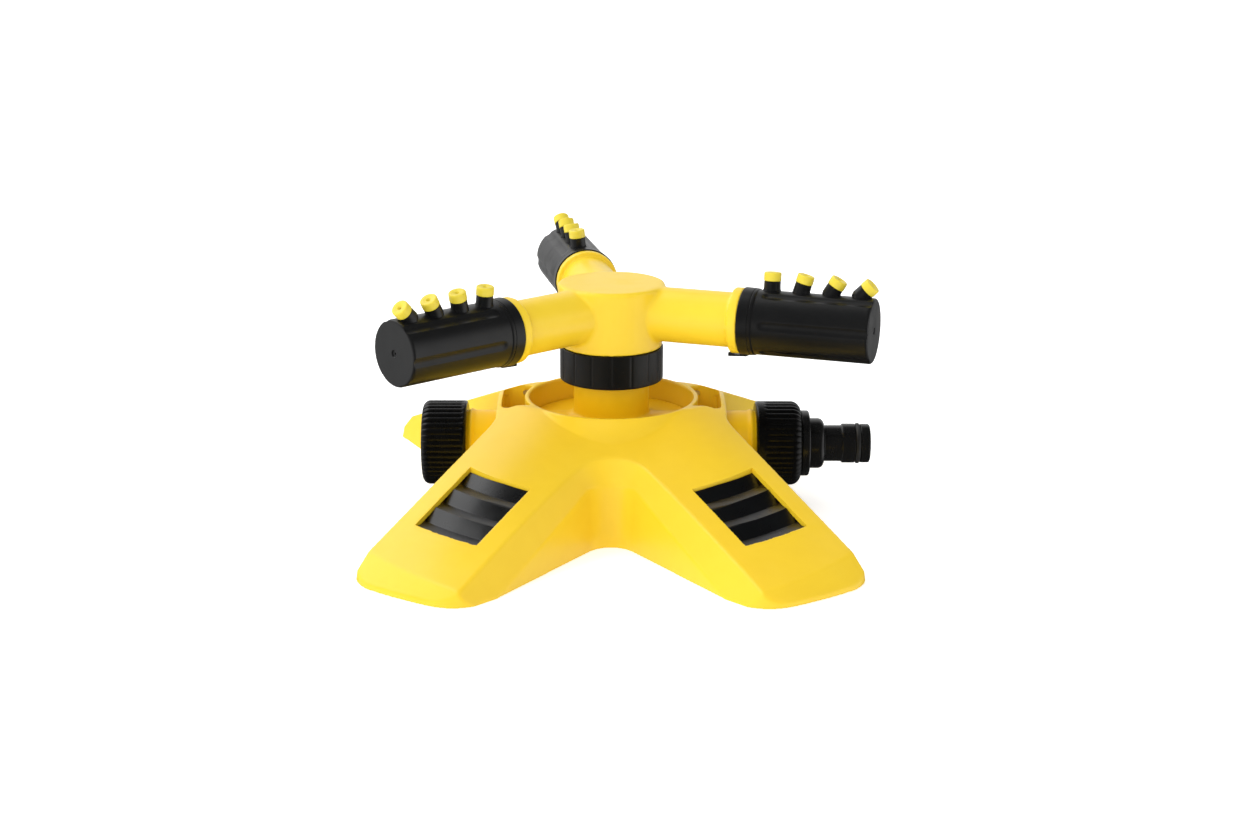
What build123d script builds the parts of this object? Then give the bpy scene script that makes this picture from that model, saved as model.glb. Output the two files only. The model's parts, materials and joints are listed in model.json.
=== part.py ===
"""Rotating three-arm garden sprinkler on a four-legged stand, in millimetres.

+Z is up and the rotor turns about it. The origin is on the ground, under the rotor.
The water pipe lies along X, with the hose connector at the +X end.
"""

import os
from math import atan, cos, hypot, radians, sin, sqrt, tan

from build123d import *

# ---------------------------------------------------------------- clearances
RUNNING_FIT = 0.08  # radial play of a turning or sliding fit
THREAD_FIT = 0.08  # radial play of a screwed fit, its thread drawn as a plain cylinder
LOOSE_FIT = 0.3  # gap between pieces that only stand beside each other
FACE_GAP = 0.1  # play along the axis between stacked faces

# ---------------------------------------------------------------- stand
WALL = 2.2  # thickness of the moulded stand
DRAFT = 4.0  # draft of its side walls, degrees
DECK_PEAK = 54.0  # height at which the deck's slope would meet the pipe's midline
DECK_FALL = 0.39  # how far the deck falls for each millimetre outwards
RIDGE_HALF = 22.0  # half the length of the deck's ridge, along the pipe
LEG_ANGLE = 56.65  # direction of the front right leg, degrees from X
LEG_SHIFT = 3.2  # how far each leg's midline passes beside the rotor axis
LEG_HALF_WIDTH = 29.7  # half the width of a leg on the ground
FOOT_RADIUS = 135.0  # the feet end on this circle
FOOT_CORNER = 17.0
FRONT_NOTCH_RADIUS = 9.6
SIDE_NOTCH_RADIUS = 6.0
BEVEL_INSET = 6.6  # from the outline on the ground to the deck's edge, past draft and bevel
BEVEL_REACH = 15.0  # how far the bevel cutters reach, past any edge that they cut
BEVEL_SIGHTS = (60.0, 120.0, 160.0)  # places along a leg that set its bevel's slope and end
SIDE_EDGE_X = 44.8
SIDE_BEVEL_RADIUS = 25.0
BRIDGE_X = 49.0  # half the length of the bridge over the pipe, on the ground
BRIDGE_HALF_WIDTH = 20.0

# ---------------------------------------------------------------- well in the stand
WELL_RADIUS = 33.2
LIP_HEIGHT = 45.6
LIP_WALL = 1.3
LIP_ROUND = 0.5
WELL_FLOOR = 36.5
FLOOR_PLATE = 2.0  # thickness of the floor disc, and of the plate under it
PLATE_OVERLAP = 3.0  # how far the plate reaches under the well's wall
SIDE_OPENING_WIDTH = 29.0
SIDE_OPENING_END = 43.6
SIDE_OPENING_ROUND = 4.0
SIDE_OPENING_WALL = 1.8
SIDE_OPENING_FLOOR = 27.0

# ---------------------------------------------------------------- grip inserts in the legs
WINDOW_HALF_WIDTH = 14.1
WINDOW_START = 74.2
WINDOW_END = 107.1
INSERT_PLAY = 0.15
INSERT_RECESS = 0.8
INSERT_LEDGE = 2.0  # how far its rim reaches under the deck
INSERT_RIM = 1.6
STEP_COUNT = 3
STEP_FACE = 0.5  # share of each step that is its sloping face, and the rest is level
INSERT_DEPTH = 4.2  # how far the insert reaches below the stand's wall

# ---------------------------------------------------------------- water body
PIPE_HEIGHT = 25.5
PIPE_RADIUS = 13.2
PIPE_BORE = 9.6
PIPE_HALF_LENGTH = 69.3
THREAD_RADIUS = 12.9  # three-quarter inch pipe thread
THREAD_LENGTH = 12.1  # from the shoulder to the pipe's end
SHOULDER_RADIUS = 13.9
SHOULDER_WIDTH = 1.2
STEM_RADIUS = 15.2
STEM_ROOT_RADIUS = 16.6
STEM_ROOT_HEIGHT = 2.4
FLANGE_BOTTOM = 57.0
FLANGE_RADIUS = 18.2
FLANGE_THICKNESS = 3.0
SPINDLE_RADIUS = 11.2
SPINDLE_LENGTH = 10.0
STEM_BORE = 7.6
SCREW_CIRCLE = 40.5
SCREW_RADIUS = 1.5
SCREW_HEAD_RADIUS = 2.9
SCREW_HEAD_HEIGHT = 2.0
SCREW_LENGTH = 7.0
SCREW_SLOT_LENGTH = 3.4
SCREW_SLOT_WIDTH = 0.8
EAR_RADIUS = 4.5
BOSS_RADIUS = 3.4

# ---------------------------------------------------------------- seals and washers
SEAL_SECTION = 2.3  # thickness of the two larger seal rings
SEAL_SQUEEZE = 0.04  # gap left round a seal ring in its groove
GROOVE_WIDTH = 2.6
WASHER_THICKNESS = 1.2
WASHER_PLAY = 0.3

# ---------------------------------------------------------------- rotor
COLLAR_RADIUS = 20.8
COLLAR_BOTTOM = 53.1
COLLAR_TOP = 66.7
COLLAR_THREAD = 18.9
COLLAR_GROOVES = 16
COLLAR_GROOVE_RADIUS = 0.45
COLLAR_PLAY = 0.4
COLLAR_ROUND = 0.6
HUB_BOTTOM = 67.0
HUB_TOP = 92.4
HUB_RADIUS = 20.3  # at its lower edge
HUB_TOP_RADIUS = 21.7
HUB_ROUND = 1.6
HUB_ROOF = 4.0
ARM_HEIGHT = 81.0
ARM_RADIUS = 10.9
ARM_BORE = 6.2
ARM_ANGLES = {"right": -18.67, "back": 101.33, "left": 221.33}
ARM_COLLAR_RADIUS = 13.0
ARM_COLLAR_WIDTH = 3.9
SPIGOT_RADIUS = 9.6
SPIGOT_LENGTH = 13.4
SPIGOT_GROOVE = 5.6  # from the collar to the seal's groove
ARM_SEAL_SECTION = 1.7

# ---------------------------------------------------------------- spray tubes and nozzles
TUBE_START = 54.9
TUBE_END = 106.9
TUBE_RADIUS = 12.8
TUBE_WALL = 2.0
TUBE_FLANGE_RADIUS = 13.5
TUBE_FLANGE_WIDTH = 5.2
TUBE_ROUND = 0.8
FLUTE_COUNT = 6
FLUTE_RADIUS = 4.0
FLUTE_DEPTH = 0.6
FLUTE_START = 63.5
SNAP_TAB_WIDTH = 6.0
SNAP_TAB_THICKNESS = 1.1
SNAP_HOOK = 0.9
NOZZLE_COUNT = 4
NOZZLE_START = 65.6
NOZZLE_PITCH = 11.6
NOZZLE_TILT_STEP = 15.0
TUBE_TWIST = 6.5  # how far each tube, with its row of nozzles, is turned on its arm
STUB_RADIUS = 3.3
STUB_HEIGHT = 3.7
STUB_BORE = 1.2
NIPPLE_RADIUS = 2.2
NIPPLE_HEIGHT = 2.1
TIP_RADIUS = 3.55
TIP_HEIGHT = 3.5
TIP_ROUND = 0.7
JET_RADIUS = 0.5
JET_SINK_RADIUS = 1.4
JET_SINK_DEPTH = 0.9

# ---------------------------------------------------------------- end cap and inlet
NUT_RADIUS = 17.1
NUT_GAP = 1.2  # from the pipe's shoulder to the cap or the nut
NUT_LENGTH = 18.6
NUT_BAND = 3.6  # plain band at its inner end
NUT_ROUND = 1.2
NUT_END_ROUND = 4.2
NUT_END_WALL = 2.4
RIB_COUNT = 40
RIB_GROOVE_RADIUS = 0.75
CAP_LENGTH = 18.1
CAP_ROUND = 3.0
FLAT_WASHER_THICKNESS = 2.0
FLAT_WASHER_RADIUS = 12.4
FLAT_WASHER_BORE = 8.6
CONNECTOR_BORE = 4.8
CONNECTOR_TAIL_RADIUS = 9.9
CONNECTOR_BEAD_RADIUS = 11.6
CONNECTOR_DISC_RADIUS = 13.35
CONNECTOR_DISC_WIDTH = 3.3
CONNECTOR_BODY_RADIUS = 10.2
CONNECTOR_BODY_LENGTH = 6.1
CONNECTOR_BODY_ROUND = 2.4
CONNECTOR_NECK_RADIUS = 7.35
CONNECTOR_NECK_LENGTH = 7.1
CONNECTOR_LAND_RADIUS = 8.0
CONNECTOR_LAND_LENGTH = 5.4
CONNECTOR_TIP_RADIUS = 7.9
CONNECTOR_TIP_LENGTH = 3.8
CONNECTOR_TIP_CHAMFER = 0.8
CONNECTOR_SEAL_SECTION = 2.2
CONNECTOR_SEAL_PROUD = 0.3

# ---------------------------------------------------------------- dependent sizes
SPINDLE_TOP = FLANGE_BOTTOM + FLANGE_THICKNESS + SPINDLE_LENGTH
HUB_BORE = SPINDLE_RADIUS + RUNNING_FIT
SKIRT_BOTTOM = FLANGE_BOTTOM + FLANGE_THICKNESS + WASHER_THICKNESS + 2 * FACE_GAP
SKIRT_RADIUS = COLLAR_THREAD - THREAD_FIT
LIP_RADIUS = WELL_RADIUS + LIP_WALL
SWEEP_END = SIDE_OPENING_END - FACE_GAP  # where the concave sweep from the lip meets the deck
ARM_COLLAR_END = TUBE_START - FACE_GAP
ARM_COLLAR_START = ARM_COLLAR_END - ARM_COLLAR_WIDTH
SPIGOT_END = ARM_COLLAR_END + SPIGOT_LENGTH
SHOULDER_X = PIPE_HALF_LENGTH - THREAD_LENGTH
NUT_START = SHOULDER_X + NUT_GAP
NUT_END = NUT_START + NUT_LENGTH
NUT_BORE = THREAD_RADIUS + THREAD_FIT
PLATE_TOP = WELL_FLOOR - FLOOR_PLATE
PLATE_BOTTOM = PLATE_TOP - FLOOR_PLATE
RING_BOTTOM = PLATE_TOP + FACE_GAP
PLATE_RADIUS = WELL_RADIUS + PLATE_OVERLAP
LEG_SIDES = {"back_right": (1, 1), "back_left": (-1, 1), "front_left": (-1, -1), "front_right": (1, -1)}

os.makedirs("parts", exist_ok=True)


# ================================================================ helpers
def save(piece, name):
    """Label a finished piece and write it."""
    piece.label = name
    export_step(piece, f"parts/{name}.step")


def turned(plane, points, rounds=()):
    """A ring or shaft turned about the plane's own X axis, from points (along, outwards).

    rounds gives (corner, radius) pairs for the corners of the profile that are rounded.
    """
    with BuildPart() as body:
        with BuildSketch(plane) as section:
            with BuildLine():
                Polyline(*points, close=True)
            make_face()
            for corner, radius in rounds:
                fillet(section.vertices().sort_by_distance((*corner, 0))[0], radius)
        revolve(axis=Axis(plane.origin, plane.x_dir))
    return body.part


def seal_ring(plane, along, radius, section):
    """A round-section seal ring about the plane's own X axis."""
    with BuildPart() as ring:
        with BuildSketch(plane):
            with Locations((along, radius)):
                Circle(section / 2)
        revolve(axis=Axis(plane.origin, plane.x_dir))
    return ring.part


def arm_plane(angle, twist=0.0):
    """The plane through an arm: its X runs out along the arm, its Y is up, but for any twist."""
    outwards = Vector(cos(radians(angle)), sin(radians(angle)), 0)
    sideways = Vector(sin(radians(angle)), -cos(radians(angle)), 0)
    normal = sideways * cos(radians(twist)) + Vector(0, 0, 1) * sin(radians(twist))
    return Plane(origin=(0, 0, ARM_HEIGHT), x_dir=outwards, z_dir=normal)


def fluted(piece, plane, start, length, circle, radius, count):
    """Cuts round grooves along a turned piece, evenly spaced on a circle."""
    face = Plane(origin=plane.from_local_coords((start, 0, 0)), x_dir=plane.z_dir, z_dir=plane.x_dir)
    with BuildPart() as result:
        add(piece)
        with BuildSketch(face):
            with PolarLocations(circle, count):
                Circle(radius)
        extrude(amount=length, mode=Mode.SUBTRACT)
    return result.part


ROTOR_PLANE = Plane(origin=(0, 0, 0), x_dir=(0, 0, 1), z_dir=(0, 1, 0))
INLET_PLANE = Plane(origin=(0, 0, PIPE_HEIGHT), x_dir=(1, 0, 0), z_dir=(0, -1, 0))
CAP_PLANE = Plane(origin=(0, 0, PIPE_HEIGHT), x_dir=(-1, 0, 0), z_dir=(0, 1, 0))


# ================================================================ stand
def deck_height(reach):
    """Height of the deck at a distance from its ridge."""
    return DECK_PEAK - DECK_FALL * reach


def deck_solid(drop):
    """Everything under the deck, lowered by drop: two half cones and the ridge between them."""
    top = LIP_HEIGHT - drop
    top_reach = (DECK_PEAK - drop - top) / DECK_FALL
    ground_reach = (DECK_PEAK - drop) / DECK_FALL
    with BuildPart() as block:
        for side in (-1, 1):
            with BuildSketch(Plane.XZ.offset(0)):
                with BuildLine():
                    Polyline(
                        (side * RIDGE_HALF, 0),
                        (side * (RIDGE_HALF + ground_reach), 0),
                        (side * (RIDGE_HALF + top_reach), top),
                        (side * RIDGE_HALF, top),
                        close=True,
                    )
                make_face()
            revolve(axis=Axis((side * RIDGE_HALF, 0, 0), (0, 0, 1)))
        with BuildSketch(Plane.YZ.offset(-RIDGE_HALF)):
            with BuildLine():
                Polyline(
                    (-ground_reach, 0),
                    (ground_reach, 0),
                    (top_reach, top),
                    (-top_reach, top),
                    close=True,
                )
            make_face()
        extrude(amount=2 * RIDGE_HALF)
    return block.part


def deck_at(x, y):
    """Height of the deck over a point of the ground."""
    return deck_height(hypot(max(abs(x) - RIDGE_HALF, 0), y))


def leg_point(along, across):
    """A point of the ground along the back right leg and across it, towards the pipe."""
    direction = radians(LEG_ANGLE)
    x = along * cos(direction) + across * sin(direction)
    y = along * sin(direction) - across * cos(direction)
    return x, y


def leg_plan(inset, height):
    """Outline of the four legs at a height, moved inwards by inset and by the walls' draft."""
    inset = inset + height * tan(radians(DRAFT))
    middle_x, middle_y = leg_point(FOOT_RADIUS / 2, LEG_SHIFT)
    with BuildSketch(Plane.XY.offset(height)) as plan:
        for side_x, side_y in LEG_SIDES.values():
            turn = side_x * side_y * LEG_ANGLE
            with Locations(Location((side_x * middle_x, side_y * middle_y, 0), (0, 0, turn))):
                Rectangle(FOOT_RADIUS, 2 * (LEG_HALF_WIDTH - inset))
        Rectangle(2 * WELL_RADIUS, 2 * WELL_RADIUS)
        Circle(FOOT_RADIUS - inset, mode=Mode.INTERSECT)
        corners = plan.vertices().filter_by(lambda v: hypot(v.X, v.Y) > FOOT_RADIUS - inset - 1)
        fillet(corners, FOOT_CORNER - inset)
        front_and_back = plan.vertices().filter_by(lambda v: abs(v.X) < 0.1)
        fillet(front_and_back, FRONT_NOTCH_RADIUS + inset)
        sides = plan.vertices().filter_by(lambda v: abs(v.Y) < 0.1)
        fillet(sides, SIDE_NOTCH_RADIUS + inset)
    return plan.sketch


def notch_cutter(plane, points, corners, radius):
    """Clears a notch between two legs: upright above the plane, with a 45 degree bevel below it."""
    with BuildPart() as cutter:
        with BuildSketch(plane) as outline:
            with BuildLine():
                Polyline(*points, close=True)
            make_face()
            fillet(outline.vertices().sort_by_distance((*points[0], 0))[:corners], radius)
        extrude(amount=BEVEL_REACH)
        extrude(outline.sketch, amount=-BEVEL_REACH, taper=45)
    return cutter.part


def bevel_cutters(inset, drop):
    """The cutters that bevel the deck's edges, moved inwards by inset and down by drop."""
    half_width = LEG_HALF_WIDTH - BEVEL_INSET - inset
    inner, outer = LEG_SHIFT - half_width, LEG_SHIFT + half_width
    near, far, beyond = (leg_point(along, inner) for along in BEVEL_SIGHTS)
    fall = (deck_at(*near) - deck_at(*far)) / (far[1] - near[1])
    tilt = atan(fall)
    height = deck_at(*near) + fall * near[1] - drop
    plane = Plane(origin=(0, 0, height), x_dir=(1, 0, 0), z_dir=(0, sin(tilt), cos(tilt)))
    tip = -inner / cos(radians(LEG_ANGLE)) / cos(tilt)
    points = [(0, tip), (beyond[0], beyond[1] / cos(tilt)), (-beyond[0], beyond[1] / cos(tilt))]
    back = notch_cutter(plane, points, 1, FRONT_NOTCH_RADIUS + BEVEL_INSET + inset)

    near, far, beyond = (leg_point(along, outer) for along in BEVEL_SIGHTS)
    fall = (deck_at(*near) - deck_at(*far)) / (far[0] - near[0])
    tilt = atan(fall)
    height = deck_at(*near) + fall * near[0] - drop
    plane = Plane(origin=(0, 0, height), x_dir=(cos(tilt), 0, -sin(tilt)), z_dir=(sin(tilt), 0, cos(tilt)))
    edge_x = SIDE_EDGE_X - inset
    edge_y = (edge_x * sin(radians(LEG_ANGLE)) - outer) / cos(radians(LEG_ANGLE))
    start = edge_x / cos(tilt)
    end = beyond[0] / cos(tilt)
    points = [(start, edge_y), (start, -edge_y), (end, -beyond[1]), (end, beyond[1])]
    right = notch_cutter(plane, points, 2, SIDE_BEVEL_RADIUS)

    edge = FOOT_RADIUS - BEVEL_INSET - inset
    edge_height = deck_at(*leg_point(edge, LEG_SHIFT)) - drop
    with BuildPart() as feet:
        with BuildSketch(Plane.XZ):
            with BuildLine():
                Polyline(
                    (edge - BEVEL_REACH, edge_height + BEVEL_REACH),
                    (edge + 2 * BEVEL_REACH, edge_height + BEVEL_REACH),
                    (edge + 2 * BEVEL_REACH, edge_height - 2 * BEVEL_REACH),
                    close=True,
                )
            make_face()
        revolve(axis=Axis.Z)
    return [back, mirror(back, about=Plane.XZ), right, mirror(right, about=Plane.YZ), feet.part]


def stand_block(inset, drop):
    """The stand as a filled block, moved inwards by inset and down by drop."""
    bevel_inset = inset * (sqrt(2) - 1)
    with BuildPart() as block:
        add(leg_plan(inset, 0))
        add(leg_plan(inset, LIP_HEIGHT))
        loft(ruled=True)
        add(bevel_cutters(bevel_inset, drop), mode=Mode.SUBTRACT)
        with BuildSketch():
            Rectangle(2 * (BRIDGE_X - inset), 2 * (BRIDGE_HALF_WIDTH - inset))
        extrude(amount=LIP_HEIGHT, taper=DRAFT)
        add(deck_solid(drop), mode=Mode.INTERSECT)
    return block.part


def window_plan(side, grow):
    """Outline of the window in one leg, grown by grow all round."""
    middle_x, middle_y = leg_point(FOOT_RADIUS / 2, LEG_SHIFT)
    turn = side[0] * side[1] * LEG_ANGLE
    with BuildSketch() as plan:
        with Locations(Location((side[0] * middle_x, side[1] * middle_y, 0), (0, 0, turn))):
            Rectangle(FOOT_RADIUS, 2 * (WINDOW_HALF_WIDTH + grow))
        Circle(WINDOW_END + grow, mode=Mode.INTERSECT)
        Circle(WINDOW_START - grow, mode=Mode.SUBTRACT)
    return plan.sketch


def deck_slab(plan, top_drop, bottom_drop):
    """A plate that follows the deck's slope, between two drops below it."""
    with BuildPart() as slab:
        add(plan)
        extrude(amount=LIP_HEIGHT)
        add(deck_solid(top_drop), mode=Mode.INTERSECT)
        add(deck_solid(bottom_drop), mode=Mode.SUBTRACT)
    return slab.part


def well_ring():
    """The wall round the well, with its lip and the sweep down to the deck."""
    sweep_height = deck_at(0, SWEEP_END)
    with BuildPart() as ring:
        with BuildSketch(Plane.XZ) as section:
            with BuildLine():
                TangentArc((SWEEP_END, sweep_height), (LIP_RADIUS, LIP_HEIGHT), tangent=(-1, DECK_FALL))
                Polyline(
                    (LIP_RADIUS, LIP_HEIGHT),
                    (WELL_RADIUS, LIP_HEIGHT),
                    (WELL_RADIUS, RING_BOTTOM),
                    (WELL_RADIUS + WALL, RING_BOTTOM),
                    (SWEEP_END, sweep_height - WALL / 2),
                    (SWEEP_END, sweep_height),
                )
            make_face()
            lip = section.vertices().filter_by(lambda v: abs(v.Y - LIP_HEIGHT) < FACE_GAP)
            fillet(lip, LIP_ROUND)
        revolve(axis=Axis.Z)
    return ring.part


with BuildPart() as side_walls:  # upright walls beside the pipe, under the side openings
    wall_start = PLATE_RADIUS + LOOSE_FIT
    for side in (-1, 1):
        for edge in (-1, 1):
            middle_x = side * (wall_start + SIDE_EDGE_X) / 2
            middle_y = edge * (SIDE_OPENING_WIDTH + SIDE_OPENING_WALL) / 2
            with BuildSketch(Plane.XY.offset(SIDE_OPENING_FLOOR)):
                with Locations((middle_x, middle_y)):
                    Rectangle(SIDE_EDGE_X - wall_start, SIDE_OPENING_WALL)
            extrude(amount=LIP_HEIGHT - SIDE_OPENING_FLOOR)
    add(deck_solid(WALL / 2), mode=Mode.INTERSECT)

with BuildPart() as screw_bosses:
    with BuildSketch(Plane.XY.offset(RING_BOTTOM)):
        with PolarLocations(SCREW_CIRCLE, 4, start_angle=45):
            Circle(BOSS_RADIUS)
    extrude(amount=LIP_HEIGHT - RING_BOTTOM)
    add(deck_solid(WALL / 2), mode=Mode.INTERSECT)

with BuildPart() as base_shell:
    add(stand_block(0, 0))
    add(stand_block(WALL, WALL), mode=Mode.SUBTRACT)
    with BuildSketch(Plane.XY.offset(RING_BOTTOM)):
        Circle(WELL_RADIUS + WALL / 2)
    extrude(amount=LIP_HEIGHT, mode=Mode.SUBTRACT)
    add(well_ring())
    add(side_walls.part)
    add(screw_bosses.part)
    with BuildSketch(Plane.XY.offset(RING_BOTTOM)):
        with PolarLocations(SCREW_CIRCLE, 4, start_angle=45):
            Circle(SCREW_RADIUS)
    extrude(amount=SCREW_LENGTH - FLOOR_PLATE, mode=Mode.SUBTRACT)
    with BuildSketch(Plane.XY.offset(SIDE_OPENING_FLOOR)) as openings:
        Rectangle(2 * SIDE_OPENING_END, SIDE_OPENING_WIDTH)
        fillet(openings.vertices(), SIDE_OPENING_ROUND)
        Circle(LIP_RADIUS + LIP_WALL / 2, mode=Mode.SUBTRACT)
    extrude(amount=LIP_HEIGHT, mode=Mode.SUBTRACT)
    for leg_side in LEG_SIDES.values():
        add(window_plan(leg_side, 0))
    extrude(amount=LIP_HEIGHT, mode=Mode.SUBTRACT)
    with BuildSketch(Plane.YZ.offset(-BRIDGE_X)):
        with Locations((0, PIPE_HEIGHT)):
            Circle(PIPE_RADIUS + LOOSE_FIT)
        with Locations((0, PIPE_HEIGHT / 2)):
            Rectangle(2 * (PIPE_RADIUS + LOOSE_FIT), PIPE_HEIGHT)
    extrude(amount=2 * BRIDGE_X, mode=Mode.SUBTRACT)
save(base_shell.part, "base_shell")


# ================================================================ grip inserts in the legs
def step_cutter():
    """Everything above the steps of the back right leg's insert.

    The steps are rings about an axis that leans with the deck's slope across the leg.
    """
    pitch = (WINDOW_END - WINDOW_START) / STEP_COUNT
    middle = (WINDOW_START + WINDOW_END) / 2
    edges = (deck_at(*leg_point(middle, LEG_SHIFT + side * WINDOW_HALF_WIDTH)) for side in (1, -1))
    lean = atan((next(edges) - next(edges)) / (2 * WINDOW_HALF_WIDTH))
    across = Vector(sin(radians(LEG_ANGLE)), -cos(radians(LEG_ANGLE)), 0)
    along = Vector(cos(radians(LEG_ANGLE)), sin(radians(LEG_ANGLE)), 0)
    axis = Vector(0, 0, 1) * cos(lean) - across * sin(lean)
    crests = [WINDOW_START + step * pitch for step in range(STEP_COUNT + 1)]
    heights = [deck_at(*leg_point(crest, 0)) - INSERT_RECESS for crest in crests]
    top = LIP_HEIGHT
    points = [(crests[-1] + pitch, top), (WINDOW_START - pitch, top), (WINDOW_START - pitch, heights[0])]
    for step in range(STEP_COUNT):
        points.append((crests[step], heights[step]))
        points.append((crests[step] + STEP_FACE * pitch, heights[step + 1]))
    points.append((crests[-1] + pitch, heights[-1]))
    with BuildPart() as cutter:
        with BuildSketch(Plane(origin=(0, 0, 0), x_dir=along, z_dir=along.cross(axis))):
            with BuildLine():
                Polyline(*points, close=True)
            make_face()
        revolve(axis=Axis((0, 0, 0), axis))
    return cutter.part


back_right = LEG_SIDES["back_right"]
with BuildPart() as grip_insert:
    add(deck_slab(window_plan(back_right, -INSERT_PLAY), INSERT_RECESS, WALL + INSERT_DEPTH))
    add(deck_slab(window_plan(back_right, INSERT_LEDGE), WALL + FACE_GAP, WALL + INSERT_RIM))
    add(step_cutter(), mode=Mode.SUBTRACT)
back_left_insert = mirror(grip_insert.part, about=Plane.YZ)
save(grip_insert.part, "grip_insert_back_right")
save(back_left_insert, "grip_insert_back_left")
save(mirror(grip_insert.part, about=Plane.XZ), "grip_insert_front_right")
save(mirror(back_left_insert, about=Plane.XZ), "grip_insert_front_left")


# ================================================================ water body
def groove_points(start, width, shaft, depth):
    """The four points of a seal's groove in a shaft's profile."""
    return [(start, shaft), (start, shaft - depth), (start + width, shaft - depth), (start + width, shaft)]


FLANGE_TOP = FLANGE_BOTTOM + FLANGE_THICKNESS
STEM_GROOVE = FLANGE_TOP + SPINDLE_LENGTH / 2
STEM_GROOVE_DEPTH = SEAL_SECTION - RUNNING_FIT
EAR_LENGTH = SCREW_CIRCLE - PLATE_RADIUS + EAR_RADIUS

stem_points = [
    (PLATE_BOTTOM, 0),
    (PLATE_BOTTOM, PLATE_RADIUS),
    (PLATE_TOP, PLATE_RADIUS),
    (PLATE_TOP, WELL_RADIUS - LOOSE_FIT),
    (WELL_FLOOR, WELL_RADIUS - LOOSE_FIT),
    (WELL_FLOOR, STEM_ROOT_RADIUS),
    (WELL_FLOOR + STEM_ROOT_HEIGHT, STEM_ROOT_RADIUS),
    (WELL_FLOOR + STEM_ROOT_HEIGHT, STEM_RADIUS),
    (FLANGE_BOTTOM, STEM_RADIUS),
    (FLANGE_BOTTOM, FLANGE_RADIUS),
    (FLANGE_TOP, FLANGE_RADIUS),
    (FLANGE_TOP, SPINDLE_RADIUS),
    *groove_points(STEM_GROOVE, GROOVE_WIDTH, SPINDLE_RADIUS, STEM_GROOVE_DEPTH),
    (SPINDLE_TOP, SPINDLE_RADIUS),
    (SPINDLE_TOP, 0),
]
pipe_points = [
    (0, 0),
    (0, PIPE_RADIUS),
    (SHOULDER_X - SHOULDER_WIDTH, PIPE_RADIUS),
    (SHOULDER_X - SHOULDER_WIDTH, SHOULDER_RADIUS),
    (SHOULDER_X, SHOULDER_RADIUS),
    (SHOULDER_X, THREAD_RADIUS),
    (PIPE_HALF_LENGTH, THREAD_RADIUS),
    (PIPE_HALF_LENGTH, 0),
]
with BuildPart() as water_body:
    add(turned(ROTOR_PLANE, stem_points))
    add(turned(INLET_PLANE, pipe_points))
    add(turned(CAP_PLANE, pipe_points))
    with BuildSketch(Plane.XY.offset(PLATE_BOTTOM)):
        with PolarLocations(SCREW_CIRCLE, 4, start_angle=45):
            Circle(EAR_RADIUS)
            with Locations((-EAR_LENGTH / 2, 0)):
                Rectangle(EAR_LENGTH, 2 * EAR_RADIUS)
    extrude(amount=FLOOR_PLATE)
    with BuildSketch(Plane.XY.offset(PLATE_BOTTOM)):
        with PolarLocations(SCREW_CIRCLE, 4, start_angle=45):
            Circle(SCREW_RADIUS + LOOSE_FIT)
    extrude(amount=FLOOR_PLATE, mode=Mode.SUBTRACT)
    with BuildSketch(Plane.YZ.offset(-PIPE_HALF_LENGTH)):
        with Locations((0, PIPE_HEIGHT)):
            Circle(PIPE_BORE)
    extrude(amount=2 * PIPE_HALF_LENGTH, mode=Mode.SUBTRACT)
    with BuildSketch(Plane.XY.offset(PIPE_HEIGHT)):
        Circle(STEM_BORE)
    extrude(amount=SPINDLE_TOP - PIPE_HEIGHT, mode=Mode.SUBTRACT)
save(water_body.part, "water_body")

seal_radius = SPINDLE_RADIUS - STEM_GROOVE_DEPTH + SEAL_SECTION / 2
seal_place = STEM_GROOVE + GROOVE_WIDTH / 2
save(seal_ring(ROTOR_PLANE, seal_place, seal_radius, SEAL_SECTION - 2 * SEAL_SQUEEZE), "stem_seal_ring")

with BuildPart() as body_screws:
    with BuildSketch(Plane.XY.offset(PLATE_BOTTOM - SCREW_HEAD_HEIGHT)):
        with PolarLocations(SCREW_CIRCLE, 4, start_angle=45):
            Circle(SCREW_HEAD_RADIUS)
    extrude(amount=SCREW_HEAD_HEIGHT)
    with BuildSketch(Plane.XY.offset(PLATE_BOTTOM)):
        with PolarLocations(SCREW_CIRCLE, 4, start_angle=45):
            Circle(SCREW_RADIUS)
    extrude(amount=SCREW_LENGTH)
    with BuildSketch(Plane.XY.offset(PLATE_BOTTOM - SCREW_HEAD_HEIGHT)):
        with PolarLocations(SCREW_CIRCLE, 4, start_angle=45):
            Rectangle(SCREW_SLOT_LENGTH, SCREW_SLOT_WIDTH)
            Rectangle(SCREW_SLOT_WIDTH, SCREW_SLOT_LENGTH)
    extrude(amount=SCREW_HEAD_HEIGHT / 2, mode=Mode.SUBTRACT)
save(body_screws.part, "body_screws")


# ================================================================ rotor
def flat_ring(plane, start, thickness, inner, outer):
    """A flat washer about the plane's own X axis."""
    end = start + thickness
    return turned(plane, [(start, inner), (start, outer), (end, outer), (end, inner)])


COLLAR_SEAT = FLANGE_BOTTOM - WASHER_THICKNESS - 2 * FACE_GAP
washer_outer = COLLAR_THREAD - WASHER_PLAY
lower_bottom = COLLAR_SEAT + FACE_GAP
upper_bottom = FLANGE_TOP + FACE_GAP
lower_bore = STEM_RADIUS + WASHER_PLAY
save(flat_ring(ROTOR_PLANE, lower_bottom, WASHER_THICKNESS, lower_bore, washer_outer), "lower_thrust_washer")
upper_bore = SPINDLE_RADIUS + WASHER_PLAY
save(flat_ring(ROTOR_PLANE, upper_bottom, WASHER_THICKNESS, upper_bore, FLANGE_RADIUS), "upper_thrust_washer")

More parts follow.
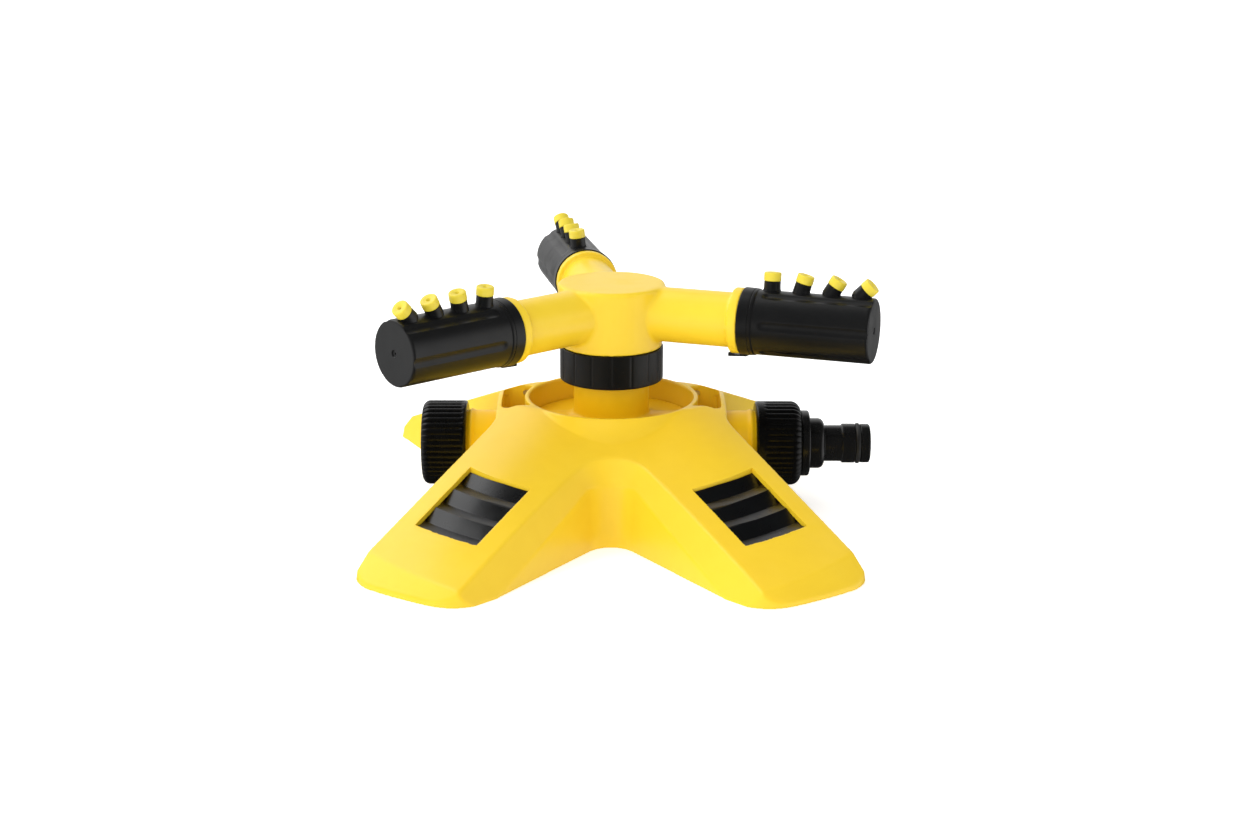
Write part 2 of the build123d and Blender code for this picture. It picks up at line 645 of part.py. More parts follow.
collar_points = [
    (COLLAR_BOTTOM, STEM_RADIUS + COLLAR_PLAY),
    (COLLAR_BOTTOM, COLLAR_RADIUS),
    (COLLAR_TOP, COLLAR_RADIUS),
    (COLLAR_TOP, COLLAR_THREAD),
    (COLLAR_SEAT, COLLAR_THREAD),
    (COLLAR_SEAT, STEM_RADIUS + COLLAR_PLAY),
]
collar = turned(ROTOR_PLANE, collar_points, [((COLLAR_BOTTOM, COLLAR_RADIUS), COLLAR_ROUND)])
groove_circle = COLLAR_RADIUS + COLLAR_GROOVE_RADIUS / 2
collar = fluted(
    collar, ROTOR_PLANE, COLLAR_BOTTOM, COLLAR_TOP, groove_circle, COLLAR_GROOVE_RADIUS, COLLAR_GROOVES
)
save(collar, "retaining_collar")

hub_points = [
    (SKIRT_BOTTOM, 0),
    (SKIRT_BOTTOM, SKIRT_RADIUS),
    (HUB_BOTTOM, SKIRT_RADIUS),
    (HUB_BOTTOM, HUB_RADIUS),
    (HUB_TOP, HUB_TOP_RADIUS),
    (HUB_TOP, 0),
]
hub_rounds = [((HUB_TOP, HUB_TOP_RADIUS), HUB_ROUND)]
ARM_GROOVE = ARM_COLLAR_END + SPIGOT_GROOVE
ARM_GROOVE_DEPTH = ARM_SEAL_SECTION - RUNNING_FIT
ARM_GROOVE_WIDTH = ARM_SEAL_SECTION + LOOSE_FIT
arm_points = [
    (0, 0),
    (0, ARM_RADIUS),
    (ARM_COLLAR_START, ARM_RADIUS),
    (ARM_COLLAR_START, ARM_COLLAR_RADIUS),
    (ARM_COLLAR_END, ARM_COLLAR_RADIUS),
    (ARM_COLLAR_END, SPIGOT_RADIUS),
    *groove_points(ARM_GROOVE, ARM_GROOVE_WIDTH, SPIGOT_RADIUS, ARM_GROOVE_DEPTH),
    (SPIGOT_END, SPIGOT_RADIUS),
    (SPIGOT_END, 0),
]
with BuildPart() as rotor_hub:
    add(turned(ROTOR_PLANE, hub_points, hub_rounds))
    for arm_angle in ARM_ANGLES.values():
        add(turned(arm_plane(arm_angle), arm_points))
    for arm_angle in ARM_ANGLES.values():
        plane = arm_plane(arm_angle)
        with BuildSketch(Plane(origin=plane.origin, x_dir=plane.z_dir, z_dir=plane.x_dir)):
            Circle(ARM_BORE)
        extrude(amount=SPIGOT_END, mode=Mode.SUBTRACT)
    with BuildSketch(Plane.XY.offset(SKIRT_BOTTOM)):
        Circle(HUB_BORE)
    extrude(amount=HUB_TOP - HUB_ROOF - SKIRT_BOTTOM, mode=Mode.SUBTRACT)
save(rotor_hub.part, "rotor_hub")

arm_seal_radius = SPIGOT_RADIUS - ARM_GROOVE_DEPTH + ARM_SEAL_SECTION / 2
arm_seal_place = ARM_GROOVE + ARM_GROOVE_WIDTH / 2
for arm_name, arm_angle in ARM_ANGLES.items():
    arm_seal = seal_ring(
        arm_plane(arm_angle), arm_seal_place, arm_seal_radius, ARM_SEAL_SECTION - 2 * SEAL_SQUEEZE
    )
    save(arm_seal, f"{arm_name}_arm_seal_ring")


# ================================================================ spray tubes and nozzles
def stub_plane(plane, index):
    """The plane of a nozzle: its X runs out along the nozzle, from the tube's surface."""
    tilt = radians(index * NOZZLE_TILT_STEP)
    place = plane.from_local_coords((NOZZLE_START + index * NOZZLE_PITCH, TUBE_RADIUS, 0))
    outwards = plane.x_dir * sin(tilt) + plane.y_dir * cos(tilt)
    return Plane(origin=place, x_dir=outwards, z_dir=plane.z_dir)


def tube_points(inner_only):
    """Profile of a spray tube, or of the space inside it."""
    bore = SPIGOT_RADIUS + RUNNING_FIT
    cavity_start = SPIGOT_END + LOOSE_FIT
    cavity = [
        (TUBE_END - TUBE_WALL, 0),
        (TUBE_END - TUBE_WALL, TUBE_RADIUS - TUBE_WALL),
        (cavity_start, TUBE_RADIUS - TUBE_WALL),
        (cavity_start, bore),
        (TUBE_START, bore),
    ]
    if inner_only:
        return [*cavity, (TUBE_START, 0)]
    return [
        (TUBE_START, 0),
        (TUBE_START, TUBE_FLANGE_RADIUS),
        (TUBE_START + TUBE_FLANGE_WIDTH, TUBE_FLANGE_RADIUS),
        (TUBE_START + TUBE_FLANGE_WIDTH, TUBE_RADIUS),
        (TUBE_END, TUBE_RADIUS),
        (TUBE_END, 0),
    ]


def snap_tab(plane):
    """The tab under a spray tube's flange that hooks behind the arm's collar."""
    reach = ARM_COLLAR_START - LOOSE_FIT
    inside = ARM_COLLAR_RADIUS + LOOSE_FIT
    points = [
        (TUBE_START + TUBE_FLANGE_WIDTH / 2, -inside - SNAP_TAB_THICKNESS),
        (TUBE_START + TUBE_FLANGE_WIDTH / 2, -TUBE_RADIUS + TUBE_WALL),
        (TUBE_START, -TUBE_RADIUS + TUBE_WALL),
        (TUBE_START, -inside),
        (reach, -inside),
        (reach, -inside + SNAP_HOOK),
        (reach - SNAP_TAB_THICKNESS, -inside + SNAP_HOOK),
        (reach - SNAP_TAB_THICKNESS, -inside - SNAP_TAB_THICKNESS),
    ]
    with BuildPart() as tab:
        with BuildSketch(plane):
            with BuildLine():
                Polyline(*points, close=True)
            make_face()
        extrude(amount=SNAP_TAB_WIDTH / 2, both=True)
    return tab.part


def spray_tube(plane):
    """One spray tube, with its grip flutes, its snap tab and its row of nozzle stubs."""
    end_round = [((TUBE_END, TUBE_RADIUS), TUBE_ROUND)]
    body = fluted(
        turned(plane, tube_points(False), end_round),
        plane,
        FLUTE_START,
        TUBE_END,
        TUBE_RADIUS + FLUTE_RADIUS - FLUTE_DEPTH,
        FLUTE_RADIUS,
        FLUTE_COUNT,
    )
    stub_root = TUBE_WALL + STUB_RADIUS
    with BuildPart() as tube:
        add(body)
        add(snap_tab(plane))
        for index in range(NOZZLE_COUNT):
            nozzle = stub_plane(plane, index)
            stub_points = [
                (-stub_root, 0),
                (-stub_root, STUB_RADIUS),
                (STUB_HEIGHT, STUB_RADIUS),
                (STUB_HEIGHT, NIPPLE_RADIUS),
                (STUB_HEIGHT + NIPPLE_HEIGHT, NIPPLE_RADIUS),
                (STUB_HEIGHT + NIPPLE_HEIGHT, 0),
            ]
            add(turned(nozzle, stub_points))
        add(turned(plane, tube_points(True)), mode=Mode.SUBTRACT)
        for index in range(NOZZLE_COUNT):
            nozzle = stub_plane(plane, index)
            with BuildSketch(Plane(origin=nozzle.origin, x_dir=nozzle.z_dir, z_dir=nozzle.x_dir)):
                Circle(STUB_BORE)
            extrude(amount=STUB_HEIGHT + NIPPLE_HEIGHT, mode=Mode.SUBTRACT)
    return tube.part


def nozzle_tip(plane, index):
    """One nozzle tip, pressed on a stub's nipple."""
    nozzle = stub_plane(plane, index)
    socket = NIPPLE_RADIUS + THREAD_FIT
    points = [
        (STUB_HEIGHT + FACE_GAP, socket),
        (STUB_HEIGHT + FACE_GAP, TIP_RADIUS),
        (STUB_HEIGHT + TIP_HEIGHT, TIP_RADIUS),
        (STUB_HEIGHT + TIP_HEIGHT, JET_SINK_RADIUS),
        (STUB_HEIGHT + TIP_HEIGHT - JET_SINK_DEPTH, JET_RADIUS),
        (STUB_HEIGHT + NIPPLE_HEIGHT + FACE_GAP, JET_RADIUS),
        (STUB_HEIGHT + NIPPLE_HEIGHT + FACE_GAP, socket),
    ]
    return turned(nozzle, points, [((STUB_HEIGHT + TIP_HEIGHT, TIP_RADIUS), TIP_ROUND)])


for arm_name, arm_angle in ARM_ANGLES.items():
    tube_plane = arm_plane(arm_angle, TUBE_TWIST)
    save(spray_tube(tube_plane), f"{arm_name}_spray_tube")
    for tip_index in range(NOZZLE_COUNT):
        save(nozzle_tip(tube_plane, tip_index), f"{arm_name}_nozzle_tip_{tip_index + 1}")


# ================================================================ end cap and inlet
RIB_CIRCLE = NUT_RADIUS + RIB_GROOVE_RADIUS / 3
WASHER_SEAT = PIPE_HALF_LENGTH + FACE_GAP
WASHER_BACK = WASHER_SEAT + FLAT_WASHER_THICKNESS


def ribbed(piece, plane, band, length):
    """Cuts the grip ribs of the cap or the nut, outwards of a plain band at its inner end."""
    return fluted(piece, plane, NUT_START + band, length - band, RIB_CIRCLE, RIB_GROOVE_RADIUS, RIB_COUNT)


def flat_washer(plane):
    """The flat seal that the cap or the nut presses on the pipe's end."""
    return flat_ring(plane, WASHER_SEAT, FLAT_WASHER_THICKNESS, FLAT_WASHER_BORE, FLAT_WASHER_RADIUS)


cap_end = NUT_START + CAP_LENGTH
cap_floor = WASHER_BACK + FACE_GAP
cap_points = [
    (NUT_START, NUT_BORE),
    (NUT_START, NUT_RADIUS),
    (cap_end, NUT_RADIUS),
    (cap_end, 0),
    (cap_floor, 0),
    (cap_floor, NUT_BORE),
]
cap_rounds = [((NUT_START, NUT_RADIUS), NUT_ROUND), ((cap_end, NUT_RADIUS), CAP_ROUND)]
save(ribbed(turned(CAP_PLANE, cap_points, cap_rounds), CAP_PLANE, NUT_ROUND, CAP_LENGTH), "end_cap")
save(flat_washer(CAP_PLANE), "end_cap_washer")

nut_hole = CONNECTOR_TAIL_RADIUS + LOOSE_FIT
nut_points = [
    (NUT_START, NUT_BORE),
    (NUT_START, NUT_RADIUS),
    (NUT_END, NUT_RADIUS),
    (NUT_END, nut_hole),
    (NUT_END - NUT_END_WALL, nut_hole),
    (NUT_END - NUT_END_WALL, NUT_BORE),
]
nut_rounds = [((NUT_START, NUT_RADIUS), NUT_ROUND), ((NUT_END, NUT_RADIUS), NUT_END_ROUND)]
save(ribbed(turned(INLET_PLANE, nut_points, nut_rounds), INLET_PLANE, NUT_BAND, NUT_LENGTH), "inlet_nut")
save(flat_washer(INLET_PLANE), "inlet_washer")

bead_start = WASHER_BACK + FACE_GAP
bead_end = NUT_END - NUT_END_WALL - FACE_GAP
disc_start = NUT_END + FACE_GAP
disc_end = disc_start + CONNECTOR_DISC_WIDTH
body_end = disc_end + CONNECTOR_BODY_LENGTH
neck_end = body_end + CONNECTOR_NECK_LENGTH
land_end = neck_end + CONNECTOR_LAND_LENGTH
groove_end = land_end + CONNECTOR_SEAL_SECTION + 2 * FACE_GAP
tip_end = groove_end + CONNECTOR_TIP_LENGTH
groove_floor = CONNECTOR_LAND_RADIUS + CONNECTOR_SEAL_PROUD - CONNECTOR_SEAL_SECTION
connector_points = [
    (bead_start, CONNECTOR_BORE),
    (bead_start, CONNECTOR_BEAD_RADIUS),
    (bead_end, CONNECTOR_BEAD_RADIUS),
    (bead_end, CONNECTOR_TAIL_RADIUS),
    (disc_start, CONNECTOR_TAIL_RADIUS),
    (disc_start, CONNECTOR_DISC_RADIUS),
    (disc_end, CONNECTOR_DISC_RADIUS),
    (disc_end, CONNECTOR_BODY_RADIUS),
    (body_end, CONNECTOR_BODY_RADIUS),
    (body_end, CONNECTOR_NECK_RADIUS),
    (neck_end, CONNECTOR_NECK_RADIUS),
    (neck_end, CONNECTOR_LAND_RADIUS),
    (land_end, CONNECTOR_LAND_RADIUS),
    (land_end, groove_floor),
    (groove_end, groove_floor),
    (groove_end, CONNECTOR_TIP_RADIUS),
    (tip_end, CONNECTOR_TIP_RADIUS),
    (tip_end, CONNECTOR_BORE),
]
connector_rounds = [
    ((disc_end, CONNECTOR_DISC_RADIUS), TUBE_ROUND),
    ((body_end, CONNECTOR_BODY_RADIUS), CONNECTOR_BODY_ROUND),
    ((tip_end, CONNECTOR_TIP_RADIUS), CONNECTOR_TIP_CHAMFER),
]
save(turned(INLET_PLANE, connector_points, connector_rounds), "inlet_connector")
connector_seal_radius = groove_floor + CONNECTOR_SEAL_SECTION / 2
connector_seal_place = (land_end + groove_end) / 2
connector_seal = seal_ring(
    INLET_PLANE, connector_seal_place, connector_seal_radius, CONNECTOR_SEAL_SECTION - 2 * SEAL_SQUEEZE
)
save(connector_seal, "connector_seal_ring")
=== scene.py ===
"""Looks of a rotating three-arm garden sprinkler, built on the frame of its CAD model.

Sizes are in millimetres as in the CAD model, and meshes are made in metres.
+Z is up along the rotor's axis and +X runs along the cross pipe to the hose nipple.
"""

import json
import logging
import math
from collections.abc import Callable, Mapping, Sequence
from dataclasses import dataclass, field
from enum import Enum
from typing import Any

import bmesh
import bpy
import numpy as np
from mathutils import Matrix, Vector


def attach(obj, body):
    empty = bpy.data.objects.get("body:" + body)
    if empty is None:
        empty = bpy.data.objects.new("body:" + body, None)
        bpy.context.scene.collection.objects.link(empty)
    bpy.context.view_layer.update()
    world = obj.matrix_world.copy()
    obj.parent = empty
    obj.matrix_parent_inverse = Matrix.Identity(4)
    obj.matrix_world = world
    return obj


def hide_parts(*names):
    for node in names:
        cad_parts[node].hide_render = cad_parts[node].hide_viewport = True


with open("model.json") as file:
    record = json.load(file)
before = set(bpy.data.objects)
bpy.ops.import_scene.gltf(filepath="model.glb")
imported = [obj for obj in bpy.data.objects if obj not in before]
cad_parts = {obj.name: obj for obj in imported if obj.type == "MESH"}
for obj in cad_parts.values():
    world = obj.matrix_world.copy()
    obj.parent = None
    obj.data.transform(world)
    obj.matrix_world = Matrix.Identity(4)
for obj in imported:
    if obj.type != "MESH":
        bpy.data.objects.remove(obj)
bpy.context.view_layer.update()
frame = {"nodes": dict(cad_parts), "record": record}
LOG = logging.getLogger("sprinkler")
MM = 0.001
MOST_TRIANGLES = 190_000  # in one softened piece
TINY = 1e-6  # radii and distances under this count as none
AXIS_CUTS = 12  # most steps of a profile's line that reaches the axis
SMOOTHING_PACE = 0.5  # share of the way to its neighbours that a point moves
TURNED_CREASE = 34.0  # degrees, as for the other creases and angles
MOULDED_CREASE = 40.0
NO_CREASE = 180.0
FLAT_ANGLE = 2.0  # faces that turn by less are one flat face
EDGE_ANGLE = 22.0  # edges that turn by more get a small round
EDGE_SEGMENTS = 2
FACE_WEIGHT = 100  # how much large faces keep their own shading
FOUR_SIDES = ((-1, -1), (-1, 1), (1, -1), (1, 1))  # left and right, front and back

Colour = tuple[float, float, float]
Triple = tuple[float, float, float]
Range = tuple[float, float]
ProfilePoint = tuple[float, float]
Corner = tuple[float, float, float]
RadiusRule = Callable[[float, float, float], float]
Softness = Callable[[np.ndarray], np.ndarray]


class Slot(Enum):
    """The record's material slots."""

    STAND = "stand_plastic"
    GRIP = "grip_plastic"
    BODY = "body_plastic"
    ROTOR = "rotor_plastic"
    COLLAR = "collar_plastic"
    SEAL = "seal_rubber"
    WASHER = "washer_plastic"
    SCREW = "screw_steel"
    TUBE = "tube_plastic"
    TIP = "tip_plastic"
    CAP = "cap_plastic"
    CONNECTOR = "connector_plastic"


class Arm(Enum):
    """The rotor's arms, with their directions in degrees from +X."""

    RIGHT = -18.67
    BACK = 101.33
    LEFT = 221.33


# ---------------------------------------------------------------- shader nodes
class Wire:
    """A number that comes out of a node, on which Python arithmetic adds Math nodes."""

    def __init__(self, graph: "Graph", socket: bpy.types.NodeSocket) -> None:
        """Keeps the socket and the graph that new nodes go in."""
        self.graph = graph
        self.socket = socket

    def _math(self, operation: str, first: Any, second: Any) -> "Wire":
        """Adds one Math node.

        Args:
            operation: The Math node's operation.
            first: A wire or a number.
            second: A wire or a number.

        Returns:
            The node's result.
        """
        made = self.graph.node("ShaderNodeMath", {"operation": operation}, {0: first, 1: second})
        return Wire(self.graph, made.outputs[0])

    def __add__(self, other: Any) -> "Wire":
        """Sum."""
        return self._math("ADD", self, other)

    def __rsub__(self, other: Any) -> "Wire":
        """Difference from a number."""
        return self._math("SUBTRACT", other, self)

    def __mul__(self, other: Any) -> "Wire":
        """Product."""
        return self._math("MULTIPLY", self, other)

    __radd__ = __add__
    __rmul__ = __mul__


class Graph:
    """The nodes of one material or of the world."""

    def __init__(self, tree: bpy.types.NodeTree) -> None:
        """Empties the tree."""
        self.tree = tree
        tree.nodes.clear()

    def node(
        self, kind: str, settings: Mapping[str, Any], values: Mapping[Any, Any]
    ) -> bpy.types.Node:
        """Adds a node.

        Args:
            kind: The node's type.
            settings: Its settings, which are set first.
            values: Values or links for its input sockets, by name or number.

        Returns:
            The node.
        """
        made = self.tree.nodes.new(kind)
        for key, value in settings.items():
            setattr(made, key, value)
        for key, value in values.items():
            socket = made.inputs[key]
            source = value.socket if isinstance(value, Wire) else value
            if isinstance(source, bpy.types.NodeSocket):
                self.tree.links.new(source, socket)
            else:
                socket.default_value = source
        return made

    def place(self) -> bpy.types.NodeSocket:
        """The point on the piece, in its own coordinates."""
        return self.node("ShaderNodeTexCoord", {}, {}).outputs["Object"]

    def noise(self, where: Any, scale: float, detail: float) -> Wire:
        """Adds soft noise.

        Args:
            where: The coordinates.
            scale: Waves per metre.
            detail: Octaves.

        Returns:
            The noise, from 0 to 1.
        """
        values = {"Vector": where, "Scale": scale, "Detail": detail}
        return Wire(self, self.node("ShaderNodeTexNoise", {}, values).outputs[0])

    def spread(self, value: Wire, part: Range) -> Wire:
        """Stretches a part of a value to 0 to 1, with soft ends.

        Args:
            value: The value.
            part: Where the part starts and ends.

        Returns:
            The stretched value.
        """
        settings = {"interpolation_type": "SMOOTHSTEP"}
        values = {0: value, 1: part[0], 2: part[1], 3: 0.0, 4: 1.0}
        return Wire(self, self.node("ShaderNodeMapRange", settings, values).outputs[0])

    def blend(self, share: Any, first: Any, second: Any) -> bpy.types.NodeSocket:
        """Mixes two colours.

        Args:
            share: How much of the second.
            first: A colour or its socket.
            second: A colour or its socket.

        Returns:
            The mixed colour.
        """
        ends = [(*end, 1.0) if isinstance(end, tuple) else end for end in (first, second)]
        values = {0: share, 6: ends[0], 7: ends[1]}
        return self.node("ShaderNodeMix", {"data_type": "RGBA"}, values).outputs[2]

    def stretched(self, where: Any, scale: Triple) -> bpy.types.NodeSocket:
        """Scales the coordinates along each axis."""
        settings = {"operation": "MULTIPLY"}
        return self.node("ShaderNodeVectorMath", settings, {0: where, 1: scale}).outputs[0]

    def bump(self, height: Wire, strength: float, distance: float) -> bpy.types.NodeSocket:
        """Turns a height into a normal."""
        values = {"Height": height, "Strength": strength, "Distance": distance}
        return self.node("ShaderNodeBump", {}, values).outputs[0]

    def surface(self, values: Mapping[str, Any]) -> None:
        """Ends the graph in a Principled surface with these values."""
        shader = self.node("ShaderNodeBsdfPrincipled", {}, values)
        self.node("ShaderNodeOutputMaterial", {}, {"Surface": shader.outputs[0]})


# ---------------------------------------------------------------- finishes
@dataclass(frozen=True)
class Finish:
    """A look for a piece. Scales are in waves per metre, and depths of bumps are in metres."""

    name: str

    def values(self, graph: Graph, where: bpy.types.NodeSocket) -> dict[str, Any]:
        """Values and links for the surface's sockets."""
        raise NotImplementedError

    def material(self) -> bpy.types.Material:
        """Builds the material.

        Returns:
            The material.
        """
        made = bpy.data.materials.new(self.name)
        made.use_nodes = True
        graph = Graph(made.node_tree)
        graph.surface(self.values(graph, graph.place()))
        return made


@dataclass(frozen=True)
class Moulded(Finish):
    """Injection-moulded plastic: mottled pigment, fine grain, dust and faint handling marks."""

    colour: Colour
    shade: Colour
    roughness: float
    coat: float = 0.0
    grain: float = 0.05
    grain_scale: float = 2600.0
    dust: float = 0.03
    shine: float = 0.5
    dust_colour: Colour = (0.75, 0.73, 0.68)
    dust_scale: float = 1150.0
    dust_part: Range = (0.74, 0.80)
    cloud_scale: float = 34.0
    cloud_share: float = 0.7
    streak_scale: float = 210.0
    streak_depth: float = 0.25
    pigment_part: Range = (0.32, 0.68)
    wear_scale: float = 95.0
    wear_part: Range = (0.42, 0.72)
    wear_roughness: float = 0.07
    grain_roughness: float = 0.05
    usual_extra: float = 0.055  # the roughness that wear and grain usually add
    bump_depth: float = 0.00012
    coat_roughness: float = 0.16
    refraction: float = 1.49

    def values(self, graph: Graph, where: bpy.types.NodeSocket) -> dict[str, Any]:
        """Values and links for the surface's sockets.

        Args:
            graph: The material's nodes.
            where: The point on the piece.

        Returns:
            The values and links.
        """
        cloud = graph.noise(where, self.cloud_scale, 4.0)
        streak = graph.noise(where, self.streak_scale, 3.0)
        fine = graph.noise(where, self.grain_scale, 4.0)
        mottle = cloud * self.cloud_share + streak * (1 - self.cloud_share)
        pigment = graph.blend(graph.spread(mottle, self.pigment_part), self.colour, self.shade)
        speck = graph.spread(graph.noise(where, self.dust_scale, 2.0), self.dust_part) * self.dust
        wear = graph.spread(graph.noise(where, self.wear_scale, 5.0), self.wear_part)
        rough = wear * self.wear_roughness + fine * self.grain_roughness
        relief = fine + streak * self.streak_depth
        return {
            "Base Color": graph.blend(speck, pigment, self.dust_colour),
            "Roughness": rough + (self.roughness - self.usual_extra),
            "Normal": graph.bump(relief, self.grain, self.bump_depth),
            "Coat Weight": self.coat,
            "Coat Roughness": self.coat_roughness,
            "Specular IOR Level": self.shine,
            "IOR": self.refraction,
        }


@dataclass(frozen=True)
class Rubber(Finish):
    """Black moulded rubber with bloom and a fine skin."""

    colour: Colour
    bloom: Colour
    roughness: float = 0.5
    bloom_scale: float = 160.0
    bloom_part: Range = (0.45, 0.75)
    bloom_roughness: float = 0.15
    skin_scale: float = 3400.0
    skin_roughness: float = 0.06
    skin_strength: float = 0.12
    bump_depth: float = 0.0001

    def values(self, graph: Graph, where: bpy.types.NodeSocket) -> dict[str, Any]:
        """Values and links for the surface's sockets.

        Args:
            graph: The material's nodes.
            where: The point on the piece.

        Returns:
            The values and links.
        """
        bloom = graph.spread(graph.noise(where, self.bloom_scale, 5.0), self.bloom_part)
        skin = graph.noise(where, self.skin_scale, 3.0)
        rough = bloom * self.bloom_roughness + skin * self.skin_roughness + self.roughness
        return {
            "Base Color": graph.blend(bloom, self.colour, self.bloom),
            "Roughness": rough,
            "Normal": graph.bump(skin, self.skin_strength, self.bump_depth),
        }


@dataclass(frozen=True)
class PlatedSteel(Finish):
    """Bright plated steel with turning marks and a few dull spots."""

    colour: Colour
    dull: Colour
    roughness: float = 0.2
    mark_stretch: Triple = (1.0, 1.0, 14.0)
    mark_scale: float = 900.0
    mark_roughness: float = 0.12
    mark_strength: float = 0.15
    spot_scale: float = 420.0
    spot_part: Range = (0.52, 0.72)
    spot_roughness: float = 0.2
    spot_dullness: float = 0.25
    bump_depth: float = 0.0001

    def values(self, graph: Graph, where: bpy.types.NodeSocket) -> dict[str, Any]:
        """Values and links for the surface's sockets.

        Args:
            graph: The material's nodes.
            where: The point on the piece.

        Returns:
            The values and links.
        """
        marks = graph.noise(graph.stretched(where, self.mark_stretch), self.mark_scale, 3.0)
        spots = graph.spread(graph.noise(where, self.spot_scale, 4.0), self.spot_part)
        rough = marks * self.mark_roughness + spots * self.spot_roughness + self.roughness
        return {
            "Base Color": graph.blend(spots, self.colour, self.dull),
            "Metallic": 1.0 - spots * self.spot_dullness,
            "Roughness": rough,
            "Normal": graph.bump(marks, self.mark_strength, self.bump_depth),
        }


MOULDED: dict[Slot, Moulded] = {
    Slot.STAND: Moulded("stand_yellow", (0.86, 0.58, 0.024), (0.835, 0.555, 0.020), 0.36, 0.06, shine=0.45),
    Slot.BODY: Moulded("body_yellow", (0.86, 0.53, 0.006), (0.82, 0.50, 0.004), 0.40, 0.02, shine=0.26),
    Slot.ROTOR: Moulded("rotor_yellow", (0.86, 0.60, 0.030), (0.835, 0.575, 0.024), 0.36, 0.10, shine=0.46),
    Slot.TIP: Moulded("tip_lemon", (0.75, 0.60, 0.046), (0.71, 0.565, 0.037), 0.42, 0.05, 0.16, 3600.0),
    Slot.WASHER: Moulded("washer_white", (0.74, 0.73, 0.69), (0.68, 0.67, 0.63), 0.4),
    Slot.TUBE: Moulded(
        "tube_black", (0.0052, 0.0054, 0.0057), (0.0075, 0.0076, 0.0078), 0.34, 0.04, shine=0.34
    ),
    Slot.CAP: Moulded(
        "cap_black", (0.0016, 0.0016, 0.0015), (0.0026, 0.0026, 0.0025), 0.27, 0.03, shine=0.22
    ),
    Slot.CONNECTOR: Moulded(
        "connector_black", (0.0040, 0.0040, 0.0040), (0.0058, 0.0058, 0.0058), 0.25, 0.06, shine=0.4
    ),
    Slot.COLLAR: Moulded(
        "collar_black", (0.0048, 0.0050, 0.0046), (0.0068, 0.0068, 0.0064), 0.36, 0.03, 0.1, shine=0.26
    ),
    Slot.GRIP: Moulded(
        "grip_black", (0.0011, 0.0013, 0.0016), (0.0020, 0.0024, 0.0030), 0.31, 0.0, 0.12, 2100.0, 0.02, 0.62
    ),
}
FINISHES: dict[Slot, Finish] = {
    **MOULDED,
    Slot.SEAL: Rubber("seal_black", (0.010, 0.010, 0.010), (0.024, 0.024, 0.023)),
    Slot.SCREW: PlatedSteel("screw_plated", (0.62, 0.62, 0.64), (0.42, 0.41, 0.40)),
}


# ---------------------------------------------------------------- mesh helpers
@dataclass(frozen=True)
class Spindle:
    """An axis in space that pieces are turned about, in millimetres."""

    origin: Vector
    along: Vector
    up: Vector

    def point(self, along: float, radius: float, angle: float) -> Vector:
        """A point by its place along the axis, its distance from it and its angle from up.

        Args:
            along: Place along the axis.
            radius: Distance from the axis.
            angle: Angle from up, in radians.

        Returns:
            The point.
        """
        side = self.along.cross(self.up)
        outwards = self.up * math.cos(angle) + side * math.sin(angle)
        return self.origin + self.along * along + outwards * radius


@dataclass(frozen=True)
class Grid:
    """How finely a turned piece is divided: longest step of its profile, facets, steps of a round."""

    step: float
    facets: int
    round_steps: int = 6


def rounded(corners: Sequence[Corner], steps: int = 6) -> list[ProfilePoint]:
    """Rounds the corners of a closed profile.

    Args:
        corners: Corners as (along, outwards, radius of the round).
        steps: Points in each round, less one.

    Returns:
        The rounded profile.
    """
    points: list[ProfilePoint] = []
    for index, (along, outwards, radius) in enumerate(corners):
        if radius <= 0:
            points.append((along, outwards))
            continue
        here = Vector((along, outwards))
        back = (Vector(corners[index - 1][:2]) - here).normalized()
        ahead = (Vector(corners[(index + 1) % len(corners)][:2]) - here).normalized()
        half = back.angle(ahead) / 2
        centre = here + (back + ahead).normalized() * (radius / math.sin(half))
        first = here + back * (radius / math.tan(half)) - centre
        last = here + ahead * (radius / math.tan(half)) - centre
        for step in range(steps + 1):
            turned = first.slerp(last, step / steps).normalized() * radius
            points.append((centre.x + turned.x, centre.y + turned.y))
    return points


def dense(points: Sequence[ProfilePoint], step: float) -> list[ProfilePoint]:
    """Adds points along the long straight parts of a closed profile.

    Args:
        points: The profile.
        step: The longest gap left between two points, but for lines that reach the axis.

    Returns:
        The denser profile.
    """
    result: list[ProfilePoint] = []
    for start, end in zip(points, [*points[1:], points[0]], strict=True):
        cuts = max(1, math.ceil(math.dist(start, end) / step))
        if start[1] <= 0 or end[1] <= 0:
            cuts = min(cuts, AXIS_CUTS)
        for cut in range(cuts):
            share = cut / cuts
            along = start[0] + (end[0] - start[0]) * share
            outwards = start[1] + (end[1] - start[1]) * share
            result.append((along, outwards))
    return result


def shade(mesh: bpy.types.Mesh, crease: float) -> None:
    """Shades a mesh smooth, but for the edges that turn by more degrees than crease."""
    mesh.shade_smooth()
    mesh.set_sharp_from_angle(angle=math.radians(crease))


def link_mesh(
    name: str, shape: bmesh.types.BMesh, crease: float = TURNED_CREASE
) -> bpy.types.Object:
    """Makes an object of a finished bmesh.

    Args:
        name: The piece's name.
        shape: The shape, in metres, which is freed.
        crease: Edges that turn by more degrees than this stay sharp.

    Returns:
        The object.
    """
    bmesh.ops.recalc_face_normals(shape, faces=shape.faces)
    mesh = bpy.data.meshes.new(name)
    shape.to_mesh(mesh)
    shape.free()
    shade(mesh, crease)
    made = bpy.data.objects.new(name, mesh)
    bpy.context.scene.collection.objects.link(made)
    return made


